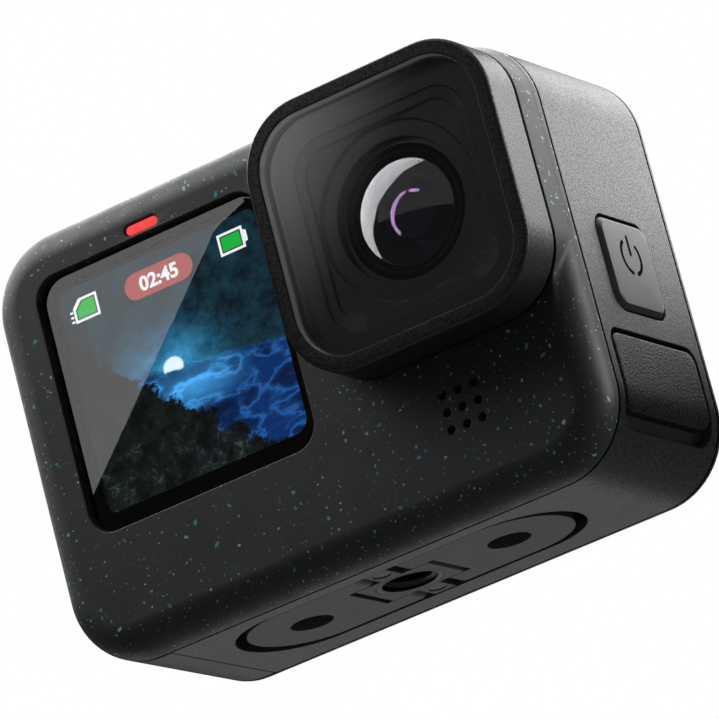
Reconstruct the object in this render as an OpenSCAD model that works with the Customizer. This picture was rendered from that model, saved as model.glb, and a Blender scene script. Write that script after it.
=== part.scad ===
// Action camera: a rounded box with a square lens cover, a front screen, a rear touch screen,
// two folding mounting fingers round a tripod thread, two buttons and a battery door.
// X runs to the right seen from the front, the lens looks along -Y and Z is up.
// The origin is the centre of the base. Sizes are millimetres.

/* [Body] */
// Width over the two sides, without the buttons
body_w = 71.8; // [71.6:0.1:72.2]
// Height from the base to the top
body_h = 50.8; // [50.6:0.1:51.4]
// Radius of the four corners of the outline
corner_r = 8.8; // [8.4:0.1:9]
// Wall thickness of the moulded shells
wall = 1.8; // [1.7:0.05:1.9]
// Rounding of the front cover's edge
front_round = 4; // [3.6:0.1:4.1]
// Rounding of the rear bezel's edge
rear_round = 1; // [0.6:0.1:1.2]

/* [Depth, front to back] */
// Front of the lens cover
nose_y = -16.8; // [-17.2:0.1:-16.6]
// Front face of the front cover
front_y = -10.6; // [-10.7:0.05:-10.5]
// Seam between the front cover and the housing
seam_y = -6.4; // [-6.5:0.05:-6.3]
// Seam between the housing and the rear bezel
rear_seam_y = 15.4; // [15.3:0.05:15.5]
// Rear face of the camera
back_y = 16.8; // [16.7:0.05:17]

/* [Lens] */
// Distance of the lens axis from the middle of the body
lens_x = 19.5; // [19.2:0.05:19.5]
// Height of the lens axis
lens_z = 34.15; // [34:0.05:34.2]
// Side of the square lens cover
cover_w = 31.8; // [31.4:0.1:31.8]
// Corner radius of the lens cover
cover_r = 8; // [7.5:0.1:8.5]
// Side of the square protective glass
cover_glass_w = 28.3; // [28:0.1:28.4]
// Gap between the lens cover and the front cover
cover_gap = 0.15; // [0.1:0.01:0.2]
// Radius of the bayonet collar
collar_r = 12; // [11.9:0.05:12.1]
// Radius of the lens barrel
barrel_r = 7.5; // [7.4:0.05:7.55]
// Radius of the domed front element
dome_r = 5.7; // [5.6:0.05:5.8]
// Height of the dome over its rim
dome_h = 2.6; // [2.4:0.05:2.7]

/* [Screens] */
// Left edge of the front screen's opening
screen_x0 = -29.4; // [-29.6:0.1:-29.2]
// Right edge of the front screen's opening
screen_x1 = 1.1; // [0.9:0.1:1.2]
// Bottom edge of the front screen's opening
screen_z0 = 14.3; // [14.1:0.1:14.5]
// Top edge of the front screen's opening
screen_z1 = 45.1; // [44.9:0.1:45.1]
// Depth of the front glass under the front face
screen_sink = 1.1; // [0.9:0.05:1.2]
// Width of the rear glass
rear_glass_w = 62; // [61:0.1:62.4]
// Height of the rear glass
rear_glass_h = 41; // [40:0.1:41.4]

/* [Buttons] */
// Side of the square mode button's opening
mode_w = 11.6; // [11.2:0.1:11.8]
// How far a button stands proud of its wall
button_proud = 0.4; // [0.4:0.1:0.6]
// Travel of the mode button
mode_travel = 0.4; // [0.3:0.05:0.4]
// Travel of the shutter button
shutter_travel = 0.5; // [0.4:0.05:0.5]
// Length of the shutter button
shutter_l = 13; // [12:0.5:14]
// Width of the shutter button
shutter_w = 9.4; // [9:0.1:9.6]

/* [Battery door] */
// Height of the door's upper edge
door_top = 42; // [41.8:0.1:42]
// Distance that the door's foot reaches in under the base
door_foot = 10; // [9.6:0.1:10.2]
// Radius of the door's hinge knuckle
knuckle_r = 0.8; // [0.75:0.05:0.85]
// Downward travel of the latch
latch_travel = 2; // [1.5:0.1:2]

/* [Folding fingers] */
// Distance of the fingers' middle line behind the middle of the body
mount_y = 3.75; // [3.6:0.05:3.9]
// Thickness of a finger
finger_t = 2.9; // [2.8:0.05:2.95]
// Half width and end radius of a finger
finger_r = 7.5; // [7.4:0.05:7.55]
// Distance from the middle to a finger's eye
eye_x = 13.2; // [13:0.1:13.4]
// Radius of a finger's eye
eye_r = 2.5; // [2.45:0.01:2.55]
// Distance from the middle to a finger's hinge
hinge_x = 3.1; // [3.05:0.01:3.15]
// Radius of a finger's hinge pin
pin_r = 0.8; // [0.75:0.01:0.85]
// Depth of the pocket that the fingers fold into
pocket_h = 3.2; // [3.15:0.05:3.3]
// Radius of the tripod thread, 1/4-20
tripod_r = 3.175; // [3.175]
// Depth of the tripod thread
tripod_depth = 5; // [4.8:0.1:5]

/* [Battery] */
// Length of the battery, along X
battery_l = 39; // [38:0.1:39.2]
// Thickness of the battery, along Y
battery_t = 12.5; // [12:0.1:12.6]
// Height of the battery
battery_h = 33; // [32:0.1:33.2]

/* [Hidden] */
$fn = 64;

half_w = body_w / 2;
half_h = body_h / 2;
eps = 0.01;          // how far a cutter runs past the face that it cuts
slip = 0.15;         // clearance round a part that slides or swings
fit = 0.03;          // radial clearance of a running pin
inner_x = half_w - wall;

cover_back_y = front_y - cover_gap;
cover_wall = 1.6;    // thickness of the front cover's face
cover_in_y = front_y + cover_wall;
rim = 2.2;           // thickness of the front cover's rim
screen_y = front_y + screen_sink;
screen_t = 0.8;
glass_t = 1.2;
glass_back_y = nose_y + 0.05 + glass_t;
baffle_back_y = -13.4;
step_1_y = -14.8;    // first shelf of the baffle
step_2_y = -14;      // second shelf of the baffle
groove_y0 = -12.65;  // groove that the bayonet lugs turn in
groove_y1 = -11.45;
lug_r = collar_r + 0.7;
lug_angle = 26;
collar_front_y = -13.25;
dome_y = -11.6;      // rim of the domed element
chassis_y = 0.4;     // front of the chassis plate
plate_t = 0.6;       // sheet of the chassis
board_t = 1;
bay_x1 = 7.2;        // inner end of the battery bay
bay_z0 = 5.9;
bay_z1 = 39.3;
bay_y1 = 13.9;
chassis_x0 = -32.6;
chassis_x1 = 33.3;
chassis_z1 = 48.6;
sensor_half = 10.5;  // half the side of the sensor board
hinge_z = 0.1 + finger_t / 2;
pocket_half = 22.2;  // half the length of the fingers' pocket
pocket_r = finger_r + 0.4;
hub_half = 4;        // half the width of the tripod block between the knuckles
hub_end_r = 2.2;     // rounding of the hub round each hinge
rib_half = 1.4;      // half the width of the ribs between the knuckles
boss_h = bay_z0 - plate_t;              // height of the boss over the fingers' pocket
boss_half = pocket_half + 2.2;
boss_half_y = pocket_r + 1.3;
pin_reach = 0.8;     // how far a hinge pin goes into the housing
insert_r = 3.9;      // outside of the threaded insert
rib_screw_y = 6;     // distance of the ribs' screws from the middle
door_x = half_w - knuckle_r;
door_pin_z = door_top - knuckle_r;
lug_l = 3.3;         // length of each of the housing's two hinge lugs
foot_x = -half_w + door_foot;
latch_w = 10;
latch_z = 12.9;
latch_h = 7.2;
mode_y = 4.1;
mode_z = 23.65;
shutter_x = -20;
shutter_y = 4;
speaker_y0 = -4.7;
speaker_y1 = 13.7;
speaker_z0 = 5.9;
speaker_z1 = 14.9;
slot_z = [9.4, 11.2, 13];               // the speaker's sound slots
screw_spots = [[-29.2, 4.2], [29.2, 4.2], [-29.2, 46.6], [29.2, 46.6]];
screw_r = 0.7;       // shank of a body screw
screw_y0 = -4.9;     // tip of a body screw
post_r = 1.6;        // the front cover's screw posts
collar_screw_r = 13.1;                  // circle of the collar's screws
collar_hole_r = 0.45;
sensor_screw_at = 8.6;                  // the sensor board's screws, from the lens axis
sensor_hole_r = 0.6;
battery_x0 = -32.3;
battery_y0 = 1.2;
battery_z0 = 6.1;

grille_x = 19.2;     // middle of the microphone's nine holes
grille_z = 11.65;
grille_pitch = 2.03;
grille_r = 0.5;
light_x = -13.9;     // middle of the status light
light_z = 46.1;
light_l = 4.4;
light_h = 1.3;
screen_r = 3;        // corners of the front screen's opening
rear_glass_r = 4;
shutter_ring_w = 1.1;
speaker_gap = 0.55;
speaker_t = 1.2;     // thickness of the speaker's cover
scoop = 1.9;         // height of the finger scoop under the speaker cover
baffle_1 = [21.9, 22.5, 4.2];           // width, height and corner of the baffle's first shelf
baffle_2 = [19.8, 20.2, 3.6];
baffle_hole_r = 9.5;
seal_r0 = 13.7;      // inside of the lens cover's seal groove
seal_r1 = 14.9;
seal_h = 0.8;
lip_r = 9.4;         // start of the collar's sloping lip
lip_back = 12.4;
flange_r = 14;
flange_t = 0.9;
rim_r = 6.6;         // inside of the barrel's front rim
seat_y = -10.5;      // back of the domed element in the barrel
bore_r = 4.6;        // bore that holds the inner lenses
tail_r = 6.5;        // rear part of the barrel
retainer_y0 = -12.3;
retainer_y1 = -11.9;
hollow_y = -7.8;     // centre of the domed element's hollow back
hollow_r = 4.4;
lens_ys = [-9.6, -7.4, -4.6];           // front faces of the inner lenses
lens_t = 1.3;
stop_y = -5.6;       // front of the aperture stop
stop_t = 0.3;
stop_r = 2.1;
filter_w = 12.3;
filter_y = -2;
filter_t = 0.4;
sensor_w = 11;

// ---- drawing helpers -------------------------------------------------------------------

// Thickens an outline drawn in X and Z from y0 to y1.
module slab(y0, y1) {
  rotate([90, 0, 0]) translate([0, 0, -y1]) linear_extrude(y1 - y0) children();
}

// Thickens an outline drawn in Y and Z from x0 to x1.
module side_slab(x0, x1) {
  translate([x0, 0, 0]) rotate([90, 0, 90]) linear_extrude(x1 - x0) children();
}

// A box between two corners.
module block(low, high) {
  translate(low) cube(high - low);
}

// A rounded rectangle between two corners.
module rounded(x0, x1, z0, z1, r) {
  translate([x0 + r, z0]) square([x1 - x0 - 2 * r, z1 - z0]);
  translate([x0, z0 + r]) square([x1 - x0, z1 - z0 - 2 * r]);
  for (x = [x0 + r, x1 - r], z = [z0 + r, z1 - r]) translate([x, z]) circle(r);
}

// The body's outline, drawn in by inset.
module outline(inset = 0) {
  rounded(-half_w + inset, half_w - inset, inset, body_h - inset, corner_r - inset);
}

// A band of the body's wall between two depths under its surface.
module skin(y0, y1, depth_0, depth_1) {
  slab(y0, y1) difference() {
    outline(depth_0);
    outline(depth_1);
  }
}

// A rectangle with rounded corners on the lens axis.
module lens_rect(w, h, r) {
  rounded(lens_x - w / 2, lens_x + w / 2, lens_z - h / 2, lens_z + h / 2, r);
}

module lens_square(w, r) {
  lens_rect(w, w, r);
}

// A cylinder on the lens axis.
module lens_rod(y0, y1, r) {
  translate([lens_x, 0, lens_z]) slab(y0, y1) circle(r);
}

// A tube on the lens axis.
module lens_tube(y0, y1, r_out, r_in) {
  translate([lens_x, 0, lens_z]) slab(y0, y1) difference() {
    circle(r_out);
    circle(r_in);
  }
}

// A pin along Y.
module pin_y(x, z, y0, y1, r) {
  translate([x, 0, z]) slab(y0, y1) circle(r);
}

// ---- shells ----------------------------------------------------------------------------

// Half of the front cover's section: distance from the middle against distance in front.
module edge_profile(half) {
  translate([0, -seam_y]) square([half - front_round, seam_y - front_y]);
  translate([0, -seam_y]) square([half, seam_y - front_y - front_round]);
  translate([half - front_round, -front_y - front_round]) intersection() {
    circle(front_round);
    square(front_round);
  }
}

module both_ways(half) {
  edge_profile(half);
  mirror([1, 0]) edge_profile(half);
}

// The front cover's full form, its edge rounded all the way round.
module front_form() {
  translate([0, 0, half_h]) {
    rotate([180, 90, 0]) linear_extrude(body_w - 2 * corner_r, center = true) both_ways(half_h);
    rotate([180, 0, 0]) linear_extrude(body_h - 2 * corner_r, center = true) both_ways(half_w);
    for (x = [-1, 1], z = [-1, 1])
      translate([x * (half_w - corner_r), 0, z * (half_h - corner_r)])
        rotate([90, 0, 0]) rotate_extrude() edge_profile(corner_r);
  }
}

module light_outline(gap) {
  rounded(light_x - light_l / 2 - gap, light_x + light_l / 2 + gap,
          light_z - light_h / 2 - gap, light_z + light_h / 2 + gap, light_h / 2 + gap - eps);
}

module front_cover() {
  color("dimgray") difference() {
    union() {
      difference() {
        union() {
          front_form();
          slab(front_y, seam_y) lens_square(cover_w, cover_r);
        }
        slab(cover_in_y, seam_y + eps) outline(rim);
      }
      for (spot = screw_spots) pin_y(spot[0], spot[1], cover_in_y - eps, chassis_y, post_r);
    }
    slab(front_y - eps, cover_in_y + eps)
      rounded(screen_x0, screen_x1, screen_z0, screen_z1, screen_r);
    slab(front_y - eps, cover_in_y + eps) light_outline(0.05);
    lens_rod(front_y - eps, cover_in_y + eps, collar_r + 0.05);
    for (i = [-1, 0, 1], j = [-1, 0, 1])
      pin_y(grille_x + i * grille_pitch, grille_z + j * grille_pitch,
            front_y - eps, cover_in_y + eps, grille_r);
    for (spot = screw_spots) pin_y(spot[0], spot[1], screw_y0 - 0.1, chassis_y + eps, screw_r);
    for (a = [45 : 90 : 315])
      pin_y(lens_x + collar_screw_r * cos(a), lens_z + collar_screw_r * sin(a),
            cover_in_y - 1.1, cover_in_y + eps, collar_hole_r);
  }
}

// The part of the body's left wall that the battery door takes.
module door_zone(gap) {
  block([-half_w - 2, seam_y - 1, -1], [foot_x + gap, rear_seam_y + 1, door_top + gap]);
}

module finger_pocket() {
  translate([0, mount_y, -eps]) linear_extrude(pocket_h + eps)
    rounded(-pocket_half, pocket_half, -pocket_r, pocket_r, pocket_r - eps);
}

module mode_outline(gap) {
  rounded(mode_y - mode_w / 2 + gap, mode_y + mode_w / 2 - gap,
          mode_z - mode_w / 2 + gap, mode_z + mode_w / 2 - gap, 2.2 - gap);
}

module shutter_outline(gap) {
  translate([shutter_x, shutter_y])
    rounded(-shutter_l / 2 - gap, shutter_l / 2 + gap, -shutter_w / 2 - gap, shutter_w / 2 + gap,
            shutter_w / 2 + gap - eps);
}

module main_housing() {
  color("dimgray") difference() {
    union() {
      difference() {
        slab(seam_y, rear_seam_y) outline();
        slab(seam_y - eps, rear_seam_y + eps) outline(wall);
        door_zone(slip);
      }
      block([-boss_half, mount_y - boss_half_y, 0], [boss_half, mount_y + boss_half_y, boss_h]);
      for (y = [seam_y, rear_seam_y - lug_l]) {
        pin_y(-door_x, door_pin_z, y, y + lug_l, knuckle_r);
        block([-half_w, y, door_pin_z], [-half_w + 2 * knuckle_r, y + lug_l, door_top + slip + eps]);
      }
    }
    finger_pocket();
    translate([0, mount_y, 0]) cylinder(h = tripod_depth, r = insert_r);
    for (x = [-1, 1], y = [mount_y - pocket_r - pin_reach, mount_y + pocket_r - eps])
      pin_y(x * hinge_x, hinge_z, y, y + pin_reach + eps, pin_r);
    for (y = [-1, 1]) translate([0, mount_y + rib_screw_y * y, pocket_h - eps])
      cylinder(h = 1.4, r = 0.5);
    side_slab(inner_x - eps, half_w + eps) mode_outline(0);
    translate([0, 0, body_h - wall - eps])
      linear_extrude(wall + 2 * eps) shutter_outline(shutter_ring_w);
    speaker_pocket();
    side_slab(inner_x - 1, half_w - 1) for (z = slot_z)
      rounded(speaker_back_y + 0.5, speaker_back_y + 9.5, z - 0.3, z + 0.3, 0.29);
    pin_y(-door_x, door_pin_z, seam_y + 1, rear_seam_y - 1, pin_r / 2);
  }
}

module speaker_pocket() {
  intersection() {
    skin(speaker_y0 - speaker_gap, speaker_y1 + 0.4, -1, speaker_t);
    side_slab(half_w - 4, half_w + 1)
      rounded(speaker_y0 - speaker_gap, speaker_y1 + 0.4,
              speaker_z0 - scoop, speaker_z1 + speaker_gap, 1.9);
  }
}

module speaker_cover() {
  color("dimgray") intersection() {
    skin(speaker_y0, speaker_y1, 0, speaker_t);
    side_slab(half_w - 4, half_w + 1)
      rounded(speaker_y0, speaker_y1, speaker_z0, speaker_z1, 1.5);
  }
}

// Half of the rear bezel's section at a corner.
module rear_profile(half) {
  square([half - rear_round, back_y - rear_seam_y]);
  square([half, back_y - rear_seam_y - rear_round]);
  translate([half - rear_round, back_y - rear_seam_y - rear_round]) intersection() {
    circle(rear_round);
    square(rear_round);
  }
}

module rear_both(half) {
  rear_profile(half);
  mirror([1, 0]) rear_profile(half);
}

module rear_form() {
  translate([0, rear_seam_y, half_h]) {
    rotate([0, 90, 0]) linear_extrude(body_w - 2 * corner_r, center = true) rear_both(half_h);
    linear_extrude(body_h - 2 * corner_r, center = true) rear_both(half_w);
    for (x = [-1, 1], z = [-1, 1])
      translate([x * (half_w - corner_r), 0, z * (half_h - corner_r)])
        rotate([-90, 0, 0]) rotate_extrude() rear_profile(corner_r);
  }
}

module rear_window(gap, r) {
  rounded(-rear_glass_w / 2 - gap, rear_glass_w / 2 + gap,
          half_h + 0.3 - rear_glass_h / 2 - gap, half_h + 0.3 + rear_glass_h / 2 + gap, r + gap);
}

module rear_bezel() {
  color("dimgray") difference() {
    rear_form();
    slab(rear_seam_y - eps, back_y + eps) rear_window(0.05, rear_glass_r);
  }
}

// Sheet-metal frame: a plate across the body with the battery's bay and the electronics' bay.
module chassis() {
  color("silver") difference() {
    union() {
      slab(chassis_y, chassis_y + plate_t) intersection() {
        outline(wall + 0.2);
        rounded(chassis_x0, chassis_x1, 1.9, chassis_z1, 6);
      }
      block([chassis_x0, chassis_y, bay_z0 - plate_t],
            [bay_x1 + plate_t, bay_y1 + plate_t, bay_z1 + plate_t]);
    }
    block([chassis_x0 - eps, chassis_y + plate_t, bay_z0], [bay_x1, bay_y1, bay_z1]);
    slab(chassis_y - eps, chassis_y + plate_t + eps)
      translate([lens_x, lens_z]) square(12, center = true);
    for (spot = screw_spots)
      pin_y(spot[0], spot[1], chassis_y - eps, chassis_y + plate_t + eps, screw_r + 0.05);
    block([-boss_half - 0.1, chassis_y - eps, 0],
          [boss_half + 0.1, chassis_y + plate_t + eps, boss_h]);
  }
}

// ---- screens ---------------------------------------------------------------------------

module front_screen_glass() {
  color("black") slab(screen_y, screen_y + screen_t)
    rounded(screen_x0 + 0.1, screen_x1 - 0.1, screen_z0 + 0.1, screen_z1 - 0.1, 2.9);
}

module front_screen_gasket() {
  color("black") slab(screen_y + screen_t, screen_y + screen_t + 0.3) difference() {
    rounded(screen_x0 + 0.4, screen_x1 - 0.4, screen_z0 + 0.4, screen_z1 - 0.4, 2.6);
    rounded(screen_x0 + 1.6, screen_x1 - 1.6, screen_z0 + 1.6, screen_z1 - 1.6, 1.4);
  }
}

module front_display() {
  color("midnightblue") slab(screen_y + screen_t + 0.3, screen_y + screen_t + 2.1)
    rounded(screen_x0 + 0.4, screen_x1 - 0.4, screen_z0 + 0.4, screen_z1 - 0.4, 1);
}

module rear_touch_glass() {
  color("black") slab(back_y - 1.1, back_y - 0.1) rear_window(-0.05, rear_glass_r);
}

module rear_display() {
  color("midnightblue") slab(bay_y1 + plate_t, back_y - 1.1) rear_window(-1.5, 2);
}

// ---- removable lens cover --------------------------------------------------------------

module bayonet_sector(r, angle) {
  intersection() {
    circle(r);
    polygon([[0, 0], [2 * r * cos(angle / 2), -2 * r * sin(angle / 2)],
             [2 * r * cos(angle / 2), 2 * r * sin(angle / 2)]]);
  }
}

module lens_cover_frame() {
  color("black") difference() {
    slab(nose_y, cover_back_y) lens_square(cover_w, cover_r);
    slab(nose_y - eps, baffle_back_y) lens_square(cover_glass_w + 0.1, 6.3);
    lens_rod(baffle_back_y - eps, cover_back_y + eps, collar_r + slip);
    lens_rod(groove_y0, groove_y1, lug_r + slip);
    translate([lens_x, 0, lens_z]) slab(groove_y1 - eps, cover_back_y + eps)
      for (k = [0 : 2]) rotate(-45 + 120 * k) bayonet_sector(lug_r + slip, lug_angle + 6);
    lens_tube(cover_back_y - seal_h, cover_back_y + eps, seal_r1, seal_r0);
  }
}

module lens_cover_glass() {
  color([0.6, 0.65, 0.7, 0.3]) slab(nose_y + 0.05, glass_back_y) lens_square(cover_glass_w, 6.25);
}

module lens_cover_baffle() {
  color("black") difference() {
    slab(glass_back_y, baffle_back_y) lens_square(cover_glass_w, 6.25);
    slab(glass_back_y - eps, step_1_y) lens_rect(baffle_1[0], baffle_1[1], baffle_1[2]);
    slab(step_1_y - eps, step_2_y) lens_rect(baffle_2[0], baffle_2[1], baffle_2[2]);
    lens_rod(step_2_y - eps, baffle_back_y + eps, baffle_hole_r);
  }
}

module lens_cover_seal() {
  color("black") lens_tube(cover_back_y - seal_h, cover_back_y + 0.1, seal_r1 - 0.05, seal_r0 + 0.05);
}

// ---- lens ------------------------------------------------------------------------------

module lens_collar() {
  color("black") difference() {
    union() {
      translate([lens_x, 0, lens_z]) rotate([90, 0, 0]) rotate_extrude() polygon([
        [barrel_r + 0.05, -collar_front_y - 0.3], [lip_r, -collar_front_y],
        [collar_r, -collar_front_y], [collar_r, -cover_in_y], [flange_r, -cover_in_y],
        [flange_r, -cover_in_y - flange_t], [lip_r, -cover_in_y - flange_t],
        [lip_r, lip_back], [barrel_r + 0.05, lip_back]
      ]);
      translate([lens_x, 0, lens_z]) slab(groove_y0 + slip, groove_y1 - slip) difference() {
        for (k = [0 : 2]) rotate(120 * k) bayonet_sector(lug_r, lug_angle);
        circle(collar_r - 0.5);
      }
    }
    for (a = [45 : 90 : 315])
      pin_y(lens_x + collar_screw_r * cos(a), lens_z + collar_screw_r * sin(a),
            cover_in_y - 1, cover_in_y + flange_t + 0.1, collar_hole_r + 0.05);
  }
}

module collar_screws() {
  color("silver") for (a = [45 : 90 : 315])
    translate([lens_x + collar_screw_r * cos(a), 0, lens_z + collar_screw_r * sin(a)]) {
      slab(cover_in_y - 1, cover_in_y + flange_t) circle(collar_hole_r);
      slab(cover_in_y + flange_t, cover_in_y + flange_t + 0.6) circle(0.8);
    }
}

barrel_y0 = -12.9;
barrel_step_y = -6;
barrel_y1 = -2.2;
holder_back_y = chassis_y - board_t;

module lens_barrel() {
  color("black") translate([lens_x, 0, lens_z]) rotate([90, 0, 0]) rotate_extrude() polygon([
    [rim_r, -barrel_y0], [barrel_r, -barrel_y0], [barrel_r, -barrel_step_y],
    [tail_r, -barrel_step_y], [tail_r, -barrel_y1], [bore_r, -barrel_y1],
    [bore_r, -seat_y], [dome_r + 0.02, -seat_y], [dome_r + 0.02, -retainer_y1],
    [rim_r, -retainer_y1]
  ]);
}

module lens_retainer() {
  color("black") lens_tube(retainer_y0, retainer_y1, rim_r - 0.02, dome_r + 0.1);
}

module front_element() {
  dome_sphere = (dome_r * dome_r + dome_h * dome_h) / (2 * dome_h);
  color([0.25, 0.2, 0.35, 0.6]) difference() {
    intersection() {
      translate([lens_x, dome_y - dome_h + dome_sphere, lens_z]) sphere(dome_sphere, $fn = 96);
      lens_rod(dome_y - dome_h - 1, seat_y, dome_r);
    }
    translate([lens_x, hollow_y, lens_z]) sphere(hollow_r, $fn = 96);
  }
}

module inner_lenses() {
  color([0.25, 0.2, 0.35, 0.6]) for (y = lens_ys) lens_rod(y, y + lens_t, bore_r);
}

module aperture_stop() {
  color("black") lens_tube(stop_y, stop_y + stop_t, bore_r, stop_r);
}

// The four screw holes round the sensor.
module sensor_holes(y0, y1, r) {
  for (x = [-1, 1], z = [-1, 1])
    pin_y(lens_x + sensor_screw_at * x, lens_z + sensor_screw_at * z, y0, y1, r);
}

module lens_holder() {
  color("black") difference() {
    slab(barrel_step_y, holder_back_y) lens_square(2 * sensor_half, 2);
    lens_rod(barrel_step_y - eps, barrel_y1, tail_r + 0.02);
    slab(barrel_y1 - eps, holder_back_y + eps) lens_square(filter_w + 0.1, 1);
    sensor_holes(-4, holder_back_y + eps, sensor_hole_r);
  }
}

module ir_filter() {
  color([0.4, 0.8, 0.8, 0.5]) slab(filter_y, filter_y + filter_t) lens_square(filter_w, 0.9);
}

module image_sensor() {
  color("darkslategray") slab(filter_y + filter_t, holder_back_y) lens_square(sensor_w, 0.4);
}

module sensor_board() {
  color("darkgreen") difference() {
    slab(holder_back_y, chassis_y) lens_square(2 * sensor_half, 1);
    sensor_holes(holder_back_y - eps, chassis_y + eps, sensor_hole_r + 0.05);
  }
}

module sensor_screws() {
  color("silver") sensor_holes(-3.9, chassis_y, sensor_hole_r - 0.02);
}

// ---- electronics -----------------------------------------------------------------------

main_board_y = -4.6;
board_back_y = main_board_y + board_t;
board_x0 = -30.5;
board_x1 = 5.6;
board_z0 = 7;
board_z1 = 44.8;
chip_x = -7;         // middle of the processor
chip_z = 29;
chip_w = 14;
chip_t = 1.6;
flex_z0 = 40;        // lower edge of the sensor's ribbon
flex_z1 = 43.5;
flex_x = 7;          // bend of the ribbon, past the board's edge
flex_t = 0.2;

module main_board() {
  color("darkgreen") slab(main_board_y, board_back_y) rounded(board_x0, board_x1, board_z0, board_z1, 1);
}

module processor() {
  color("dimgray") slab(board_back_y, board_back_y + chip_t)
    translate([chip_x, chip_z]) square(chip_w, center = true);
}

module heat_spreader() {
  color("peru") block([chassis_x0 + slot_l + 0.2, board_back_y + chip_t, 9], [5, chassis_y, 39]);
}

module sensor_flex() {
  color("orange") {
    block([2, board_back_y, flex_z0], [flex_x + flex_t, board_back_y + flex_t, flex_z1]);
    block([flex_x, board_back_y + flex_t, flex_z0], [flex_x + flex_t, chassis_y - flex_t, flex_z1]);
    block([flex_x + flex_t, chassis_y - 2 * flex_t, flex_z0],
          [lens_x - sensor_half, chassis_y - flex_t, flex_z1]);
  }
}

module front_status_light() {
  color("red") slab(front_y + 0.05, cover_in_y + 1) light_outline(0);
}

module microphone() {
  color("silver") slab(cover_in_y, cover_in_y + 1.5)
    translate([grille_x, grille_z]) square(6, center = true);
}

// ---- buttons ---------------------------------------------------------------------------

top_in_z = body_h - wall;
cap_z = top_in_z + 0.2;                 // underside of the shutter button's cap
stem_z = top_in_z - 0.5;                // end of its stem
button_board_z = 45.4;
button_board_t = 0.8;
button_board_half = 7;
switch_half = 2.5;   // half the side of a tact switch
switch_h = 1.4;

module shutter_button() {
  color("black") {
    translate([0, 0, cap_z]) linear_extrude(body_h + button_proud - cap_z) shutter_outline(-slip);
    translate([shutter_x, shutter_y, stem_z]) cylinder(h = cap_z - stem_z + 0.1, r = 1.5);
  }
}

module shutter_ring() {
  color("crimson") translate([0, 0, top_in_z]) linear_extrude(wall) difference() {
    shutter_outline(shutter_ring_w - 0.02);
    shutter_outline(0);
  }
}

module shutter_switch() {
  color("silver") {
    switch_z = button_board_z + button_board_t;
    plunger_h = stem_z - shutter_travel - 0.02 - switch_z;
    translate([shutter_x, shutter_y, switch_z]) {
      linear_extrude(switch_h) square(2 * switch_half, center = true);
      cylinder(h = plunger_h, r = 1);
    }
  }
}

module button_board() {
  color("darkgreen") block([shutter_x - button_board_half, chassis_y + plate_t, button_board_z],
                           [shutter_x + button_board_half, 13, button_board_z + button_board_t]);
}

mode_seal_t = 0.4;
mode_stem_x = inner_x - mode_seal_t;    // end of the mode button's stem
mode_switch_x = 31.2;
mode_switch_t = 1;

module mode_button() {
  color("dimgray") {
    side_slab(inner_x + mode_travel + 0.2, half_w + button_proud) mode_outline(slip);
    side_slab(mode_stem_x, inner_x + mode_travel + 0.3) translate([mode_y, mode_z]) circle(1.5);
  }
}

module mode_seal() {
  color("black") side_slab(mode_stem_x, inner_x) difference() {
    translate([mode_y, mode_z]) square(mode_w + 1.6, center = true);
    translate([mode_y, mode_z]) circle(1.6);
  }
}

module mode_switch() {
  color("silver") {
    block([mode_switch_x, chassis_y + plate_t, mode_z - switch_half],
          [mode_switch_x + mode_switch_t, mode_y + switch_half, mode_z + switch_half]);
    side_slab(mode_switch_x + mode_switch_t, mode_stem_x - mode_travel - 0.02)
      translate([mode_y, mode_z]) circle(1);
  }
}

// ---- battery door ----------------------------------------------------------------------

door_y0 = seam_y + slip;
door_y1 = rear_seam_y - slip;

latch_t = 0.75;      // how deep the latch's slide lies in the door
latch_neck = 2;      // half the width of the latch's neck
latch_neck_z = latch_z + 2.7;

module battery_door() {
  color("dimgray") difference() {
    union() {
      intersection() {
        skin(door_y0, door_y1, 0, wall);
        block([-half_w - 1, door_y0, -1], [foot_x, door_y1, door_pin_z]);
      }
      pin_y(-door_x, door_pin_z, seam_y + lug_l + slip, rear_seam_y - lug_l - slip, knuckle_r);
    }
    for (y = [seam_y - 1, rear_seam_y - lug_l - slip])
      block([-half_w - 1, y, door_pin_z - knuckle_r - 0.25],
            [-half_w + 4, y + lug_l + 1 + slip, door_top]);
    pin_y(-door_x, door_pin_z, seam_y, rear_seam_y, pin_r / 2 + fit);
    side_slab(-half_w - eps, -half_w + latch_t + 0.05)
      rounded(mount_y - latch_w / 2 - slip, mount_y + latch_w / 2 + slip,
              latch_z - latch_travel - slip, latch_z + latch_h + slip, 1);
    side_slab(-half_w, -half_w + wall + eps)
      rounded(mount_y - latch_neck - 0.2, mount_y + latch_neck + 0.2,
              latch_z + 0.4, latch_z + latch_h - 0.4, 0.5);
  }
}

module door_hinge_pin() {
  color("silver") pin_y(-door_x, door_pin_z, seam_y + 1, rear_seam_y - 1, pin_r / 2);
}

module door_latch() {
  color("dimgray") {
    side_slab(-half_w - button_proud, -half_w + latch_t)
      rounded(mount_y - latch_w / 2, mount_y + latch_w / 2, latch_z, latch_z + latch_h, 0.8);
    side_slab(-half_w + latch_t, -half_w + wall + 0.05)
      rounded(mount_y - latch_neck, mount_y + latch_neck, latch_neck_z, latch_neck_z + 2, 0.3);
    side_slab(-half_w + wall + 0.05, -half_w + wall + 0.6)
      rounded(mount_y - latch_neck - 1.4, mount_y + latch_neck + 1.4,
              latch_neck_z - 0.5, latch_neck_z + 2.5, 0.3);
  }
}

module door_seal() {
  color("black") side_slab(-inner_x, -inner_x + 0.5) difference() {
    rounded(seam_y + 0.8, rear_seam_y - 0.8, bay_z0 + 2.4, bay_z1, 1.5);
    rounded(seam_y + 2, rear_seam_y - 2, bay_z0 + 3.6, bay_z1 - 1.2, 1);
  }
}

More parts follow.
